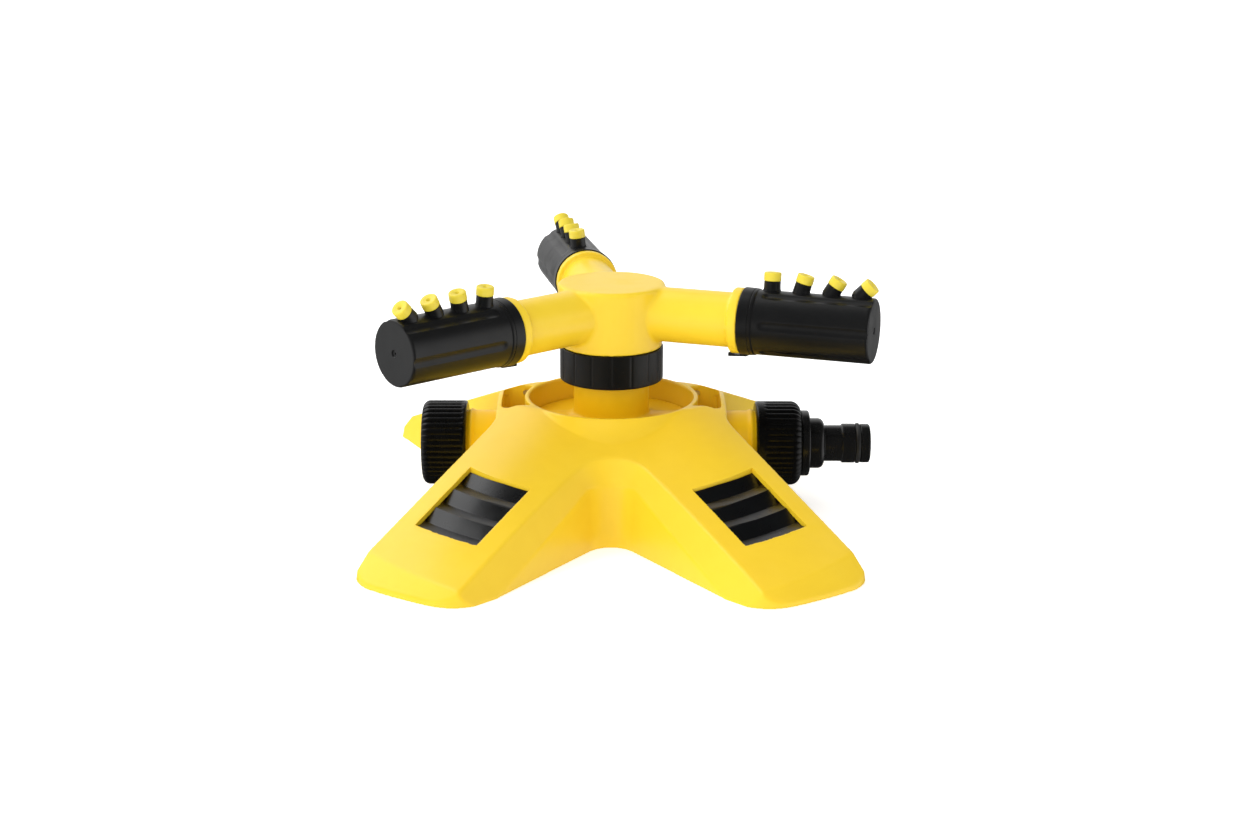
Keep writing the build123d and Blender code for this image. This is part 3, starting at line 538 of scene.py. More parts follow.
def turn(
    shape: bmesh.types.BMesh,
    axis: Spindle,
    corners: Sequence[Corner],
    grid: Grid,
    rule: RadiusRule | None = None,
) -> None:
    """Turns a closed profile about an axis, into a bmesh.

    Args:
        shape: The bmesh to add to.
        axis: The axis.
        corners: Corners as (along, outwards, round) in millimetres; those on the axis close the piece.
        grid: How finely the piece is divided.
        rule: Gives the radius from (along, radius, angle), for ribs and flutes.
    """
    rings: list[list[bmesh.types.BMVert]] = []
    for along, radius in dense(rounded(corners, grid.round_steps), grid.step):
        if radius < TINY:
            rings.append([shape.verts.new(axis.point(along, 0.0, 0.0) * MM)])
            continue
        ring = []
        for index in range(grid.facets):
            angle = 2 * math.pi * index / grid.facets
            reach = rule(along, radius, angle) if rule else radius
            ring.append(shape.verts.new(axis.point(along, reach, angle) * MM))
        rings.append(ring)
    for first, second in zip(rings, [*rings[1:], rings[0]], strict=True):
        if len(first) == 1 and len(second) == 1:
            continue
        for index in range(grid.facets):
            after = (index + 1) % grid.facets
            loop = [first[index % len(first)], first[after % len(first)]]
            loop += [second[after % len(second)], second[index % len(second)]]
            shape.faces.new(list(dict.fromkeys(loop)))


def turned_piece(
    name: str,
    axis: Spindle,
    corners: Sequence[Corner],
    grid: Grid,
    rule: RadiusRule | None = None,
) -> bpy.types.Object:
    """Turns a closed profile into a piece of its own.

    Args:
        name: The piece's name.
        axis: The axis.
        corners: The profile's corners, as for turn().
        grid: How finely the piece is divided.
        rule: Gives the radius, as for turn().

    Returns:
        The piece.
    """
    shape = bmesh.new()
    turn(shape, axis, corners, grid, rule)
    return link_mesh(name, shape)


def step_up(value: Any, low: float, high: float) -> Any:
    """Rises smoothly from 0 to 1.

    Args:
        value: A number or an array.
        low: The result is 0 up to here.
        high: The result is 1 from here.

    Returns:
        The number or the array of results.
    """
    share = (value - low) / (high - low)
    share = np.clip(share, 0, 1) if isinstance(value, np.ndarray) else min(1.0, max(0.0, share))
    return share * share * (3 - 2 * share)


def box_distance(beside: np.ndarray, beyond: np.ndarray) -> np.ndarray:
    """Distance from the edge of a rectangle, less than 0 inside it, from how far past its sides."""
    outside = np.hypot(np.maximum(beside, 0), np.maximum(beyond, 0))
    return outside + np.minimum(np.maximum(beside, beyond), 0)


def evaluated(made: bpy.types.Object) -> None:
    """Applies the modifiers of an object.

    Args:
        made: The object.
    """
    bpy.context.view_layer.update()
    graph = bpy.context.evaluated_depsgraph_get()
    mesh = bpy.data.meshes.new_from_object(made.evaluated_get(graph))
    made.modifiers.clear()
    made.data = mesh


def cad_shape(node: str) -> bmesh.types.BMesh:
    """Copies the mesh of a CAD node, with its doubled points joined.

    Args:
        node: The CAD node.

    Returns:
        The copy.
    """
    shape = bmesh.new()
    shape.from_mesh(frame["nodes"][node].data)
    bmesh.ops.remove_doubles(shape, verts=shape.verts, dist=TINY)
    return shape


def smooth(mesh: bpy.types.Mesh, rounds: int, weight: Softness) -> None:
    """Moves the points of a mesh towards their neighbours.

    Args:
        mesh: The mesh.
        rounds: How many times each point moves.
        weight: Gives the share of the move for an array of points in millimetres.
    """
    points = np.empty(len(mesh.vertices) * 3)
    mesh.vertices.foreach_get("co", points)
    points = points.reshape(-1, 3) / MM
    edges = np.empty(len(mesh.edges) * 2, dtype=np.int64)
    mesh.edges.foreach_get("vertices", edges)
    edges = edges.reshape(-1, 2)
    share = weight(points)[:, None]
    near = np.bincount(edges.ravel(), minlength=len(points))[:, None]
    for _ in range(rounds):
        total = np.zeros_like(points)
        for axis in range(3):
            total[:, axis] += np.bincount(edges[:, 0], points[edges[:, 1], axis], len(points))
            total[:, axis] += np.bincount(edges[:, 1], points[edges[:, 0], axis], len(points))
        points += (total / near - points) * SMOOTHING_PACE * share
    mesh.vertices.foreach_set("co", (points * MM).ravel())
    mesh.update()


def softened(
    name: str,
    shape: bmesh.types.BMesh,
    voxel: float,
    rounds: int,
    weight: Softness,
    crease: float = MOULDED_CREASE,
) -> bpy.types.Object:
    """Rebuilds a shape as an even mesh and rounds its edges, where weight allows.

    Args:
        name: The new piece's name.
        shape: The shape, in metres, which is freed.
        voxel: Size of the mesh's faces, in millimetres.
        rounds: How many times each point moves towards its neighbours.
        weight: Gives the share of the move for an array of points in millimetres.
        crease: Edges that turn by more degrees than this stay sharp.

    Returns:
        The new piece.
    """
    made = link_mesh(name, shape)
    remesh = made.modifiers.new("even", "REMESH")
    remesh.mode = "VOXEL"
    remesh.voxel_size = voxel * MM
    evaluated(made)
    smooth(made.data, rounds, weight)
    triangles = sum(len(face.vertices) - 2 for face in made.data.polygons)
    if triangles > MOST_TRIANGLES:
        fewer = made.modifiers.new("fewer", "DECIMATE")
        fewer.ratio = MOST_TRIANGLES / triangles
        evaluated(made)
    shade(made.data, crease)
    return made


def broken_edges(name: str, shape: bmesh.types.BMesh, width: float) -> bpy.types.Object:
    """Takes a small round off the sharp edges of a shape.

    Args:
        name: The new piece's name.
        shape: The shape, in metres, which is freed.
        width: Width of the rounds, in millimetres.

    Returns:
        The new piece.
    """
    flat = math.radians(FLAT_ANGLE)
    bmesh.ops.dissolve_limit(shape, angle_limit=flat, verts=shape.verts, edges=shape.edges)
    made = link_mesh(name, shape, NO_CREASE)
    rounds = made.modifiers.new("rounds", "BEVEL")
    rounds.width = width * MM
    rounds.segments = EDGE_SEGMENTS
    rounds.limit_method = "ANGLE"
    rounds.angle_limit = math.radians(EDGE_ANGLE)
    flats = made.modifiers.new("flats", "WEIGHTED_NORMAL")
    flats.weight = FACE_WEIGHT
    evaluated(made)
    return made


# ---------------------------------------------------------------- the shop floor
@dataclass
class Workshop:
    """Dresses pieces and puts them on the bodies of the frame."""

    materials: dict[Slot, bpy.types.Material] = field(default_factory=dict)
    bodies: dict[str, str] = field(default_factory=dict)
    slots: dict[str, Slot] = field(default_factory=dict)

    def open(self) -> None:
        """Builds the materials and reads which body and slot each node has."""
        self.materials = {slot: finish.material() for slot, finish in FINISHES.items()}
        for body, nodes in frame["record"]["behaviour"]["bodies"].items():
            for node in nodes:
                self.bodies[node] = body
        for subpart in frame["record"]["subparts"]:
            self.slots[subpart["node"]] = Slot(subpart["material_slot"])

    def put(self, made: bpy.types.Object, *nodes: str) -> None:
        """Dresses a new piece and lets it stand for its CAD nodes.

        Args:
            made: The piece.
            nodes: The CAD nodes, whose first gives the body and the slot.
        """
        slot = self.slots[nodes[0]]
        made.data.materials.clear()
        made.data.materials.append(self.materials[slot])
        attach(made, self.bodies[nodes[0]])
        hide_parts(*nodes)
        LOG.info("%s: %d faces", made.name, len(made.data.polygons))

    def dress(self, *nodes: str) -> None:
        """Gives CAD nodes that stay as they are their finish."""
        for node in nodes:
            made = frame["nodes"][node]
            made.data.materials.clear()
            made.data.materials.append(self.materials[self.slots[node]])
            LOG.info("%s: kept from the CAD model", node)


# ---------------------------------------------------------------- stand
@dataclass
class Stand:
    """The four-legged stand, with its grip inserts and the water body inside it."""

    leg_angle: float = 56.65
    leg_shift: float = 3.2
    window_half_width: float = 14.1
    window_start: float = 74.2
    window_end: float = 107.1
    opening_end: float = 43.6
    opening_half_width: float = 14.5
    window_crisp: Range = (0.4, 2.8)  # distances over which the edges' softness returns
    opening_crisp: Range = (0.4, 2.2)
    well_crisp: Range = (38.0, 43.0)
    ground_crisp: Range = (0.6, 3.0)
    least_softness: float = 0.3
    trim: float = 0.5
    opening_round: float = 4.0
    opening_floor: float = 27.2
    window_floor: float = 1.0
    outline_points: int = 25
    arc_points: int = 41
    lip_outer: float = 39.0
    top: float = 48.0
    web_middle: Triple = (34.4, 15.6, 37.3)
    web_size: Triple = (5.6, 2.2, 7.6)
    shell_voxel: float = 0.62
    shell_rounds: int = 4
    insert_round: float = 0.3
    body_voxel: float = 0.66
    body_rounds: int = 3
    body_crease: float = 38.0

    def window_distance(self, points: np.ndarray) -> np.ndarray:
        """Distance in plan from the edge of a leg's window, less than 0 inside it.

        Args:
            points: Points in millimetres.

        Returns:
            The distances, in millimetres.
        """
        angle = math.radians(self.leg_angle)
        x, y = np.abs(points[:, 0]), np.abs(points[:, 1])
        across = np.abs(x * math.sin(angle) - y * math.cos(angle) - self.leg_shift)
        reach = np.hypot(x, y)
        middle = (self.window_start + self.window_end) / 2
        beyond = np.abs(reach - middle) - (self.window_end - self.window_start) / 2
        return box_distance(across - self.window_half_width, beyond)

    def opening_distance(self, points: np.ndarray) -> np.ndarray:
        """Distance in plan from the edge of an opening beside the well."""
        beside = np.abs(points[:, 1]) - self.opening_half_width
        return box_distance(beside, np.abs(points[:, 0]) - self.opening_end)

    def softness(self, points: np.ndarray) -> np.ndarray:
        """How soft the moulding's edges are: soft on the bevels, crisp round its openings.

        Args:
            points: Points in millimetres.

        Returns:
            The softness, from 0 to 1.
        """
        soft = step_up(np.abs(self.window_distance(points)), *self.window_crisp)
        soft *= step_up(np.abs(self.opening_distance(points)), *self.opening_crisp)
        soft *= step_up(np.hypot(points[:, 0], points[:, 1]), *self.well_crisp)
        soft *= step_up(points[:, 2], *self.ground_crisp)
        return self.least_softness + (1 - self.least_softness) * soft

    def webs(self, shape: bmesh.types.BMesh) -> None:
        """Adds the webs that close the side openings' walls against the well's wall.

        Args:
            shape: The moulding.
        """
        size = Matrix.Diagonal((*(Vector(self.web_size) * MM), 1.0))
        x, y, z = self.web_middle
        for along, across in FOUR_SIDES:
            middle = Vector((along * x, across * y, z))
            bmesh.ops.create_cube(shape, matrix=Matrix.Translation(middle * MM) @ size)

    def window_outline(self, along_side: int, across_side: int) -> list[ProfilePoint]:
        """Outline in plan of one leg's window, a little larger than the CAD model's.

        Args:
            along_side: 1 for a right leg, -1 for a left one.
            across_side: 1 for a back leg, -1 for a front one.

        Returns:
            The outline.
        """
        angle = math.radians(self.leg_angle)
        half = self.window_half_width + self.trim
        offsets = np.linspace(self.leg_shift - half, self.leg_shift + half, self.outline_points)
        near, far = self.window_start - self.trim, self.window_end + self.trim
        outline = []
        for reach, across in ((near, offsets), (far, offsets[::-1])):
            along = np.sqrt(reach**2 - across**2)
            x = along * math.cos(angle) + across * math.sin(angle)
            y = along * math.sin(angle) - across * math.cos(angle)
            outline += list(zip(x * along_side, y * across_side, strict=True))
        return outline

    def opening_outline(self, side: int) -> list[ProfilePoint]:
        """Outline in plan of an opening beside the well.

        Args:
            side: 1 for the right opening, -1 for the left one.

        Returns:
            The outline.
        """
        end, half = self.opening_end + self.trim, self.opening_half_width + self.trim
        radius = self.lip_outer - self.trim
        reach = math.asin(half / radius)
        corners = [(radius * math.cos(reach), -half, 0.0), (end, -half, self.opening_round)]
        corners += [(end, half, self.opening_round), (radius * math.cos(reach), half, 0.0)]
        outline = rounded(corners)
        for angle in np.linspace(reach, -reach, self.arc_points)[1:-1]:
            outline.append((radius * math.cos(angle), radius * math.sin(angle)))
        return [(x * side, y) for x, y in outline]

    def cut_openings(self, made: bpy.types.Object) -> None:
        """Cuts the windows and the openings beside the well clean.

        Args:
            made: The softened moulding.
        """
        cuts = [(self.opening_outline(side), self.opening_floor) for side in (-1, 1)]
        cuts += [(self.window_outline(*sides), self.window_floor) for sides in FOUR_SIDES]
        for outline, floor in cuts:
            shape = bmesh.new()
            face = shape.faces.new([shape.verts.new(Vector((x, y, floor)) * MM) for x, y in outline])
            raised = bmesh.ops.extrude_face_region(shape, geom=[face])["geom"]
            lifted = [part for part in raised if isinstance(part, bmesh.types.BMVert)]
            bmesh.ops.translate(shape, verts=lifted, vec=Vector((0, 0, self.top - floor)) * MM)
            cutter = link_mesh("cutter", shape)
            cut = made.modifiers.new("cut", "BOOLEAN")
            cut.operation = "DIFFERENCE"
            cut.solver = "MANIFOLD"
            cut.object = cutter
            evaluated(made)
            bpy.data.objects.remove(cutter)
        shade(made.data, MOULDED_CREASE)

    def build(self, shop: Workshop) -> None:
        """Builds and dresses the stand's pieces.

        Args:
            shop: Dresses the pieces.
        """
        shape = cad_shape("base_shell")
        self.webs(shape)
        moulding = softened(
            "stand_moulding", shape, self.shell_voxel, self.shell_rounds, self.softness
        )
        self.cut_openings(moulding)
        shop.put(moulding, "base_shell")
        for leg in ("front_left", "front_right", "back_left", "back_right"):
            node = f"grip_insert_{leg}"
            insert = broken_edges(f"stepped_grip_{leg}", cad_shape(node), self.insert_round)
            shop.put(insert, node)
        body = softened(
            "water_body_moulding",
            cad_shape("water_body"),
            self.body_voxel,
            self.body_rounds,
            lambda points: np.ones(len(points)),
            self.body_crease,
        )
        shop.put(body, "water_body")
        shop.dress("stem_seal_ring", "body_screws")


# ---------------------------------------------------------------- rotor
@dataclass
class Rotor:
    """The hub with its three arms, the collar under it, and the washers and seals inside."""

    arm_height: float = 81.0
    near_arm: Range = (9.4, 10.3)  # reaches over which softness comes, and goes off_arm
    off_arm: Range = (13.4, 15.9)
    arm_root: Range = (12.0, 15.0)
    arm_side: Range = (24.0, 28.0)
    hub_side: Range = (17.5, 18.6)
    hub_foot: Range = (67.2, 69.0)
    least_softness: float = 0.08
    hub_voxel: float = 0.52
    hub_rounds: int = 12
    collar_radius: float = 20.8
    collar_bottom: float = 53.1
    collar_top: float = 66.7
    collar_bore: float = 15.6
    collar_thread: float = 18.9
    collar_seat: float = 55.6
    collar_grooves: int = 16
    groove_depth: float = 0.22
    groove_width: float = 0.4
    gate_along: float = 54.5
    gate_across: float = 2.6
    gate_size: Range = (0.45, 0.55)
    gate_height: float = 0.16
    groove_fade: Range = (53.8, 54.6)
    side_margin: float = 0.05
    collar_grid: Grid = Grid(0.5, 384)

    def softness(self, points: np.ndarray) -> np.ndarray:
        """Soft where the arms run into the hub and round its upper edge, firm elsewhere.

        Args:
            points: Points in millimetres.

        Returns:
            The softness, from 0 to 1.
        """
        soft = np.zeros(len(points))
        for arm in Arm:
            angle = math.radians(arm.value)
            along = points[:, 0] * math.cos(angle) + points[:, 1] * math.sin(angle)
            across = points[:, 1] * math.cos(angle) - points[:, 0] * math.sin(angle)
            reach = np.hypot(across, points[:, 2] - self.arm_height)
            near = step_up(reach, *self.near_arm) * (1 - step_up(reach, *self.off_arm))
            near *= step_up(along, *self.arm_root) * (1 - step_up(along, *self.arm_side))
            soft = np.maximum(soft, near)
        soft *= step_up(np.hypot(points[:, 0], points[:, 1]), *self.hub_side)
        soft *= step_up(points[:, 2], *self.hub_foot)
        return self.least_softness + (1 - self.least_softness) * soft

    def collar_rule(self, along: float, radius: float, angle: float) -> float:
        """Radius of the collar's side, with its grooves and its gate mark.

        Args:
            along: Height above the ground.
            radius: The plain radius.
            angle: Angle from the axis frame's up.

        Returns:
            The radius there.
        """
        if radius < self.collar_radius - self.side_margin:
            return radius
        pitch = 2 * math.pi / self.collar_grooves
        aside = (angle % pitch) * radius
        aside = min(aside, pitch * radius - aside)
        groove = math.exp(-((aside / self.groove_width) ** 2)) * step_up(along, *self.groove_fade)
        gate = ((along - self.gate_along) / self.gate_size[0]) ** 2
        gate += (((angle - math.pi) * radius - self.gate_across) / self.gate_size[1]) ** 2
        return radius - self.groove_depth * groove + self.gate_height * math.exp(-gate)

    def build(self, shop: Workshop) -> None:
        """Builds and dresses the rotor's pieces.

        Args:
            shop: Dresses the pieces.
        """
        shape = cad_shape("rotor_hub")
        hub = softened("rotor_moulding", shape, self.hub_voxel, self.hub_rounds, self.softness)
        shop.put(hub, "rotor_hub")
        corners = [
            (self.collar_bottom, self.collar_bore, 0.25),
            (self.collar_bottom, self.collar_radius, 0.7),
            (self.collar_top, self.collar_radius, 0.3),
            (self.collar_top, self.collar_thread, 0.15),
            (self.collar_seat, self.collar_thread, 0.0),
            (self.collar_seat, self.collar_bore, 0.0),
        ]
        axis = Spindle(Vector((0, 0, 0)), Vector((0, 0, 1)), Vector((0, 1, 0)))
        collar = turned_piece("screwed_collar", axis, corners, self.collar_grid, self.collar_rule)
        shop.put(collar, "retaining_collar")
        shop.dress("lower_thrust_washer", "upper_thrust_washer")
        shop.dress("right_arm_seal_ring", "back_arm_seal_ring", "left_arm_seal_ring")


# ---------------------------------------------------------------- spray tubes
@dataclass
class SprayTube:
    """One spray tube with its flutes, snap tab and row of nozzles with their lemon tips."""

    arm: Arm
    twist: float = 6.5
    height: float = 81.0
    start: float = 54.9
    end: float = 106.9
    radius: float = 12.8
    wall: float = 2.0
    bore: float = 9.68
    cavity_start: float = 68.5
    flange_radius: float = 13.38
    flange_width: float = 5.2
    end_round: float = 0.9
    flute_count: int = 6
    flute_radius: float = 4.0
    flute_depth: float = 0.6
    flute_start: float = 63.5
    nozzle_count: int = 4
    nozzle_start: float = 65.6
    nozzle_pitch: float = 11.6
    nozzle_tilt: float = 15.0
    stub_radius: float = 3.3
    stub_height: float = 3.7
    stub_bore: float = 1.2
    nipple_radius: float = 2.2
    nipple_height: float = 2.1
    tip_radius: float = 3.42
    tip_height: float = 3.5
    tip_round: float = 0.5
    jet_radius: float = 0.42
    dish_radius: float = 2.2
    sink_radius: float = 0.95
    sink_depth: float = 0.9
    tab_width: float = 6.0
    tab_thickness: float = 0.85
    tab_hook: float = 0.9
    tab_inside: float = 13.3
    tab_reach: float = 50.6
    tab_levels: tuple[Range, ...] = (
        (-0.5, 0.25), (-0.47, 0.08), (-0.4, 0.0), (0.4, 0.0), (0.47, 0.08), (0.5, 0.25)
    )
    gate_depth: float = 0.5
    gate_pin: float = 0.35
    flute_lead: float = 0.2
    flute_fade: float = 2.1
    root_left: float = 0.4
    socket_gap: float = 0.08
    flare: float = 0.32
    flare_fade: float = 0.4
    flare_part: Range = (-1.2, -0.2)
    shell_grid: Grid = Grid(0.6, 240)
    stub_grid: Grid = Grid(0.35, 72)
    tip_grid: Grid = Grid(0.25, 72)
    crease: float = 38.0

    def axis(self) -> Spindle:
        """The tube's own axis, its nozzles standing up from it.

        Returns:
            The axis.
        """
        angle, twist = math.radians(self.arm.value), math.radians(self.twist)
        along = Vector((math.cos(angle), math.sin(angle), 0))
        aside = Vector((-math.sin(angle), math.cos(angle), 0))
        up = Vector((0, 0, 1)) * math.cos(twist) + aside * math.sin(twist)
        return Spindle(Vector((0, 0, self.height)), along, up)

    def nozzle_axis(self, index: int) -> Spindle:
        """The axis of one nozzle, from the tube's surface outwards.

        Args:
            index: Which nozzle, from 0.

        Returns:
            The axis.
        """
        axis, tilt = self.axis(), math.radians(index * self.nozzle_tilt)
        origin = axis.point(self.nozzle_start + index * self.nozzle_pitch, self.radius, 0.0)
        along = axis.along * math.sin(tilt) + axis.up * math.cos(tilt)
        return Spindle(origin, along, axis.along * math.cos(tilt) - axis.up * math.sin(tilt))

    def outer_rule(self, along: float, radius: float, angle: float) -> float:
        """Radius of the tube's outside, with its flutes, which end round before the flange.

        Args:
            along: Place along the tube.
            radius: The plain radius.
            angle: Angle from the nozzles.

        Returns:
            The radius there.
        """
        if radius < self.radius - 3 * self.end_round or along < self.flute_start - self.flute_lead:
            return radius
        if abs(radius) < self.radius - self.end_round and along < self.end - self.end_round:
            return radius
        pitch = 2 * math.pi / self.flute_count
        aside = (angle + pitch / 2 - math.pi / 2) % pitch - pitch / 2
        short = max(0.0, self.flute_start + self.flute_fade - along)
        lift = self.flute_radius - math.sqrt(max(0.0, self.flute_radius**2 - short**2))
        centre = self.radius + self.flute_radius - self.flute_depth + lift
        inside = self.flute_radius**2 - (centre * math.sin(aside)) ** 2
        if inside <= 0:
            return radius
        return min(radius, centre * math.cos(aside) - math.sqrt(inside))

    def shell(self, shape: bmesh.types.BMesh) -> None:
        """Adds the tube itself: lined flange, fluted side, end face with its gate dimple.

        Args:
            shape: The tube's bmesh.
        """
        flange_end = self.start + self.flange_width
        inner = self.radius - self.wall
        corners = [
            (self.start, self.bore, 0.2),
            (self.start, self.flange_radius, 0.35),
            (flange_end - 0.9, self.flange_radius - 0.14, 0.1),
            (flange_end - 0.8, self.flange_radius - 0.34, 0.0),
            (flange_end - 0.6, self.flange_radius - 0.34, 0.0),
            (flange_end - 0.5, self.flange_radius - 0.18, 0.1),
            (flange_end + 0.4, self.flange_radius - 0.24, 0.3),
            (flange_end + 0.9, self.radius, 0.3),
            (self.end, self.radius, self.end_round),
            (self.end, 1.5, 0.2),
            (self.end - self.gate_depth, 1.1, 0.25),
            (self.end - self.gate_depth, 0.5, 0.1),
            (self.end - self.gate_depth + self.gate_pin, 0.3, 0.1),
            (self.end - self.gate_depth + self.gate_pin, 0.0, 0.0),
            (self.end - self.wall, 0.0, 0.0),
            (self.end - self.wall, inner, 0.8),
            (self.cavity_start, inner, 0.0),
            (self.cavity_start, self.bore, 0.0),
        ]
        turn(shape, self.axis(), corners, self.shell_grid, self.outer_rule)

    def stub(self, shape: bmesh.types.BMesh, index: int) -> None:
        """Adds one nozzle stub, its root flared into the tube.

        Args:
            shape: The tube's bmesh.
            index: Which nozzle, from 0.
        """
        tube, axis = self.axis(), self.nozzle_axis(index)

        def flared(along: float, radius: float, angle: float) -> float:
            """Radius of the stub, wider near the tube's surface.

            Args:
                along: Place along the nozzle.
                radius: The plain radius.
                angle: Angle round the nozzle.

            Returns:
                The radius there.
            """
            if radius < self.stub_radius - 0.4 or along > self.stub_height - 0.3:
                return radius
            offset = axis.point(along, radius, angle) - tube.origin
            above = (offset - tube.along * offset.dot(tube.along)).length - self.radius
            flare = self.flare * math.exp(-max(0.0, above) / self.flare_fade)
            return radius + flare * step_up(above, *self.flare_part)

        depth = -(self.wall - self.root_left) / math.cos(math.radians(index * self.nozzle_tilt) * 0.5)
        corners = [
            (depth, 0.0, 0.0),
            (depth, self.stub_radius - 0.6, 0.0),
            (-0.2, self.stub_radius, 0.0),
            (self.stub_height, self.stub_radius - 0.05, 0.15),
            (self.stub_height, self.nipple_radius, 0.0),
            (self.stub_height + self.nipple_height, self.nipple_radius, 0.2),
            (self.stub_height + self.nipple_height, self.stub_bore, 0.1),
            (self.stub_height, self.stub_bore, 0.0),
            (self.stub_height, 0.0, 0.0),
        ]
        turn(shape, axis, corners, self.stub_grid, flared)

    def tab(self, shape: bmesh.types.BMesh) -> None:
        """Adds the snap tab that hooks behind the arm's collar.

        Args:
            shape: The tube's bmesh.
        """
        axis = self.axis()
        side = axis.along.cross(axis.up)
        outline = [
            (self.start + self.flange_width / 2, self.tab_inside + self.tab_thickness - 0.5, 0.2),
            (self.start + self.flange_width / 2, self.radius - self.wall, 0.0),
            (self.start, self.radius - self.wall, 0.0),
            (self.start, self.tab_inside, 0.0),
            (self.tab_reach, self.tab_inside, 0.0),
            (self.tab_reach, self.tab_inside - self.tab_hook, 0.15),
            (self.tab_reach - self.tab_thickness, self.tab_inside - self.tab_hook + 0.2, 0.2),
            (self.tab_reach - self.tab_thickness, self.tab_inside + self.tab_thickness, 0.45),
        ]
        points = rounded(outline)
        middle = np.mean(points, axis=0)
        rings = []
        for share, inset in self.tab_levels:
            ring = []
            for along, below in points:
                pull = Vector((middle[0] - along, middle[1] - below))
                moved = Vector((along, below)) + pull.normalized() * inset
                place = axis.origin + axis.along * moved.x - axis.up * moved.y
                place += side * (share * self.tab_width)
                ring.append(shape.verts.new(place * MM))
            rings.append(ring)
        for first, second in zip(rings, rings[1:], strict=False):
            for index in range(len(points)):
                after = (index + 1) % len(points)
                shape.faces.new([first[index], first[after], second[after], second[index]])
        shape.faces.new(rings[0])
        shape.faces.new(list(reversed(rings[-1])))

    def tip_corners(self) -> list[Corner]:
        """Corners of a nozzle tip's profile, from the stub outwards, with its jet hole.

        Returns:
            The corners.
        """
        low, high = self.stub_height + 0.1, self.stub_height + self.tip_height
        roof = self.stub_height + self.nipple_height + 0.1
        return [
            (low, self.nipple_radius + self.socket_gap, 0.1),
            (low, self.tip_radius, 0.35),
            (high, self.tip_radius - 0.05, self.tip_round),
            (high, self.dish_radius, 0.5),
            (high - 0.28, self.sink_radius, 0.25),
            (high - self.sink_depth, self.jet_radius, 0.1),
            (roof, self.jet_radius, 0.0),
            (roof, self.nipple_radius + self.socket_gap, 0.0),
        ]

    def build(self, shop: Workshop) -> None:
        """Builds and dresses the tube and its nozzle tips.

        Args:
            shop: Dresses the pieces.
        """
        side = self.arm.name.lower()
        shape = bmesh.new()
        self.shell(shape)
        for index in range(self.nozzle_count):
            self.stub(shape, index)
        self.tab(shape)
        shop.put(link_mesh(f"{side}_tube_moulding", shape, self.crease), f"{side}_spray_tube")
        for index in range(self.nozzle_count):
            name = f"{side}_lemon_tip_{index + 1}"
            tip = turned_piece(name, self.nozzle_axis(index), self.tip_corners(), self.tip_grid)
            shop.put(tip, f"{side}_nozzle_tip_{index + 1}")


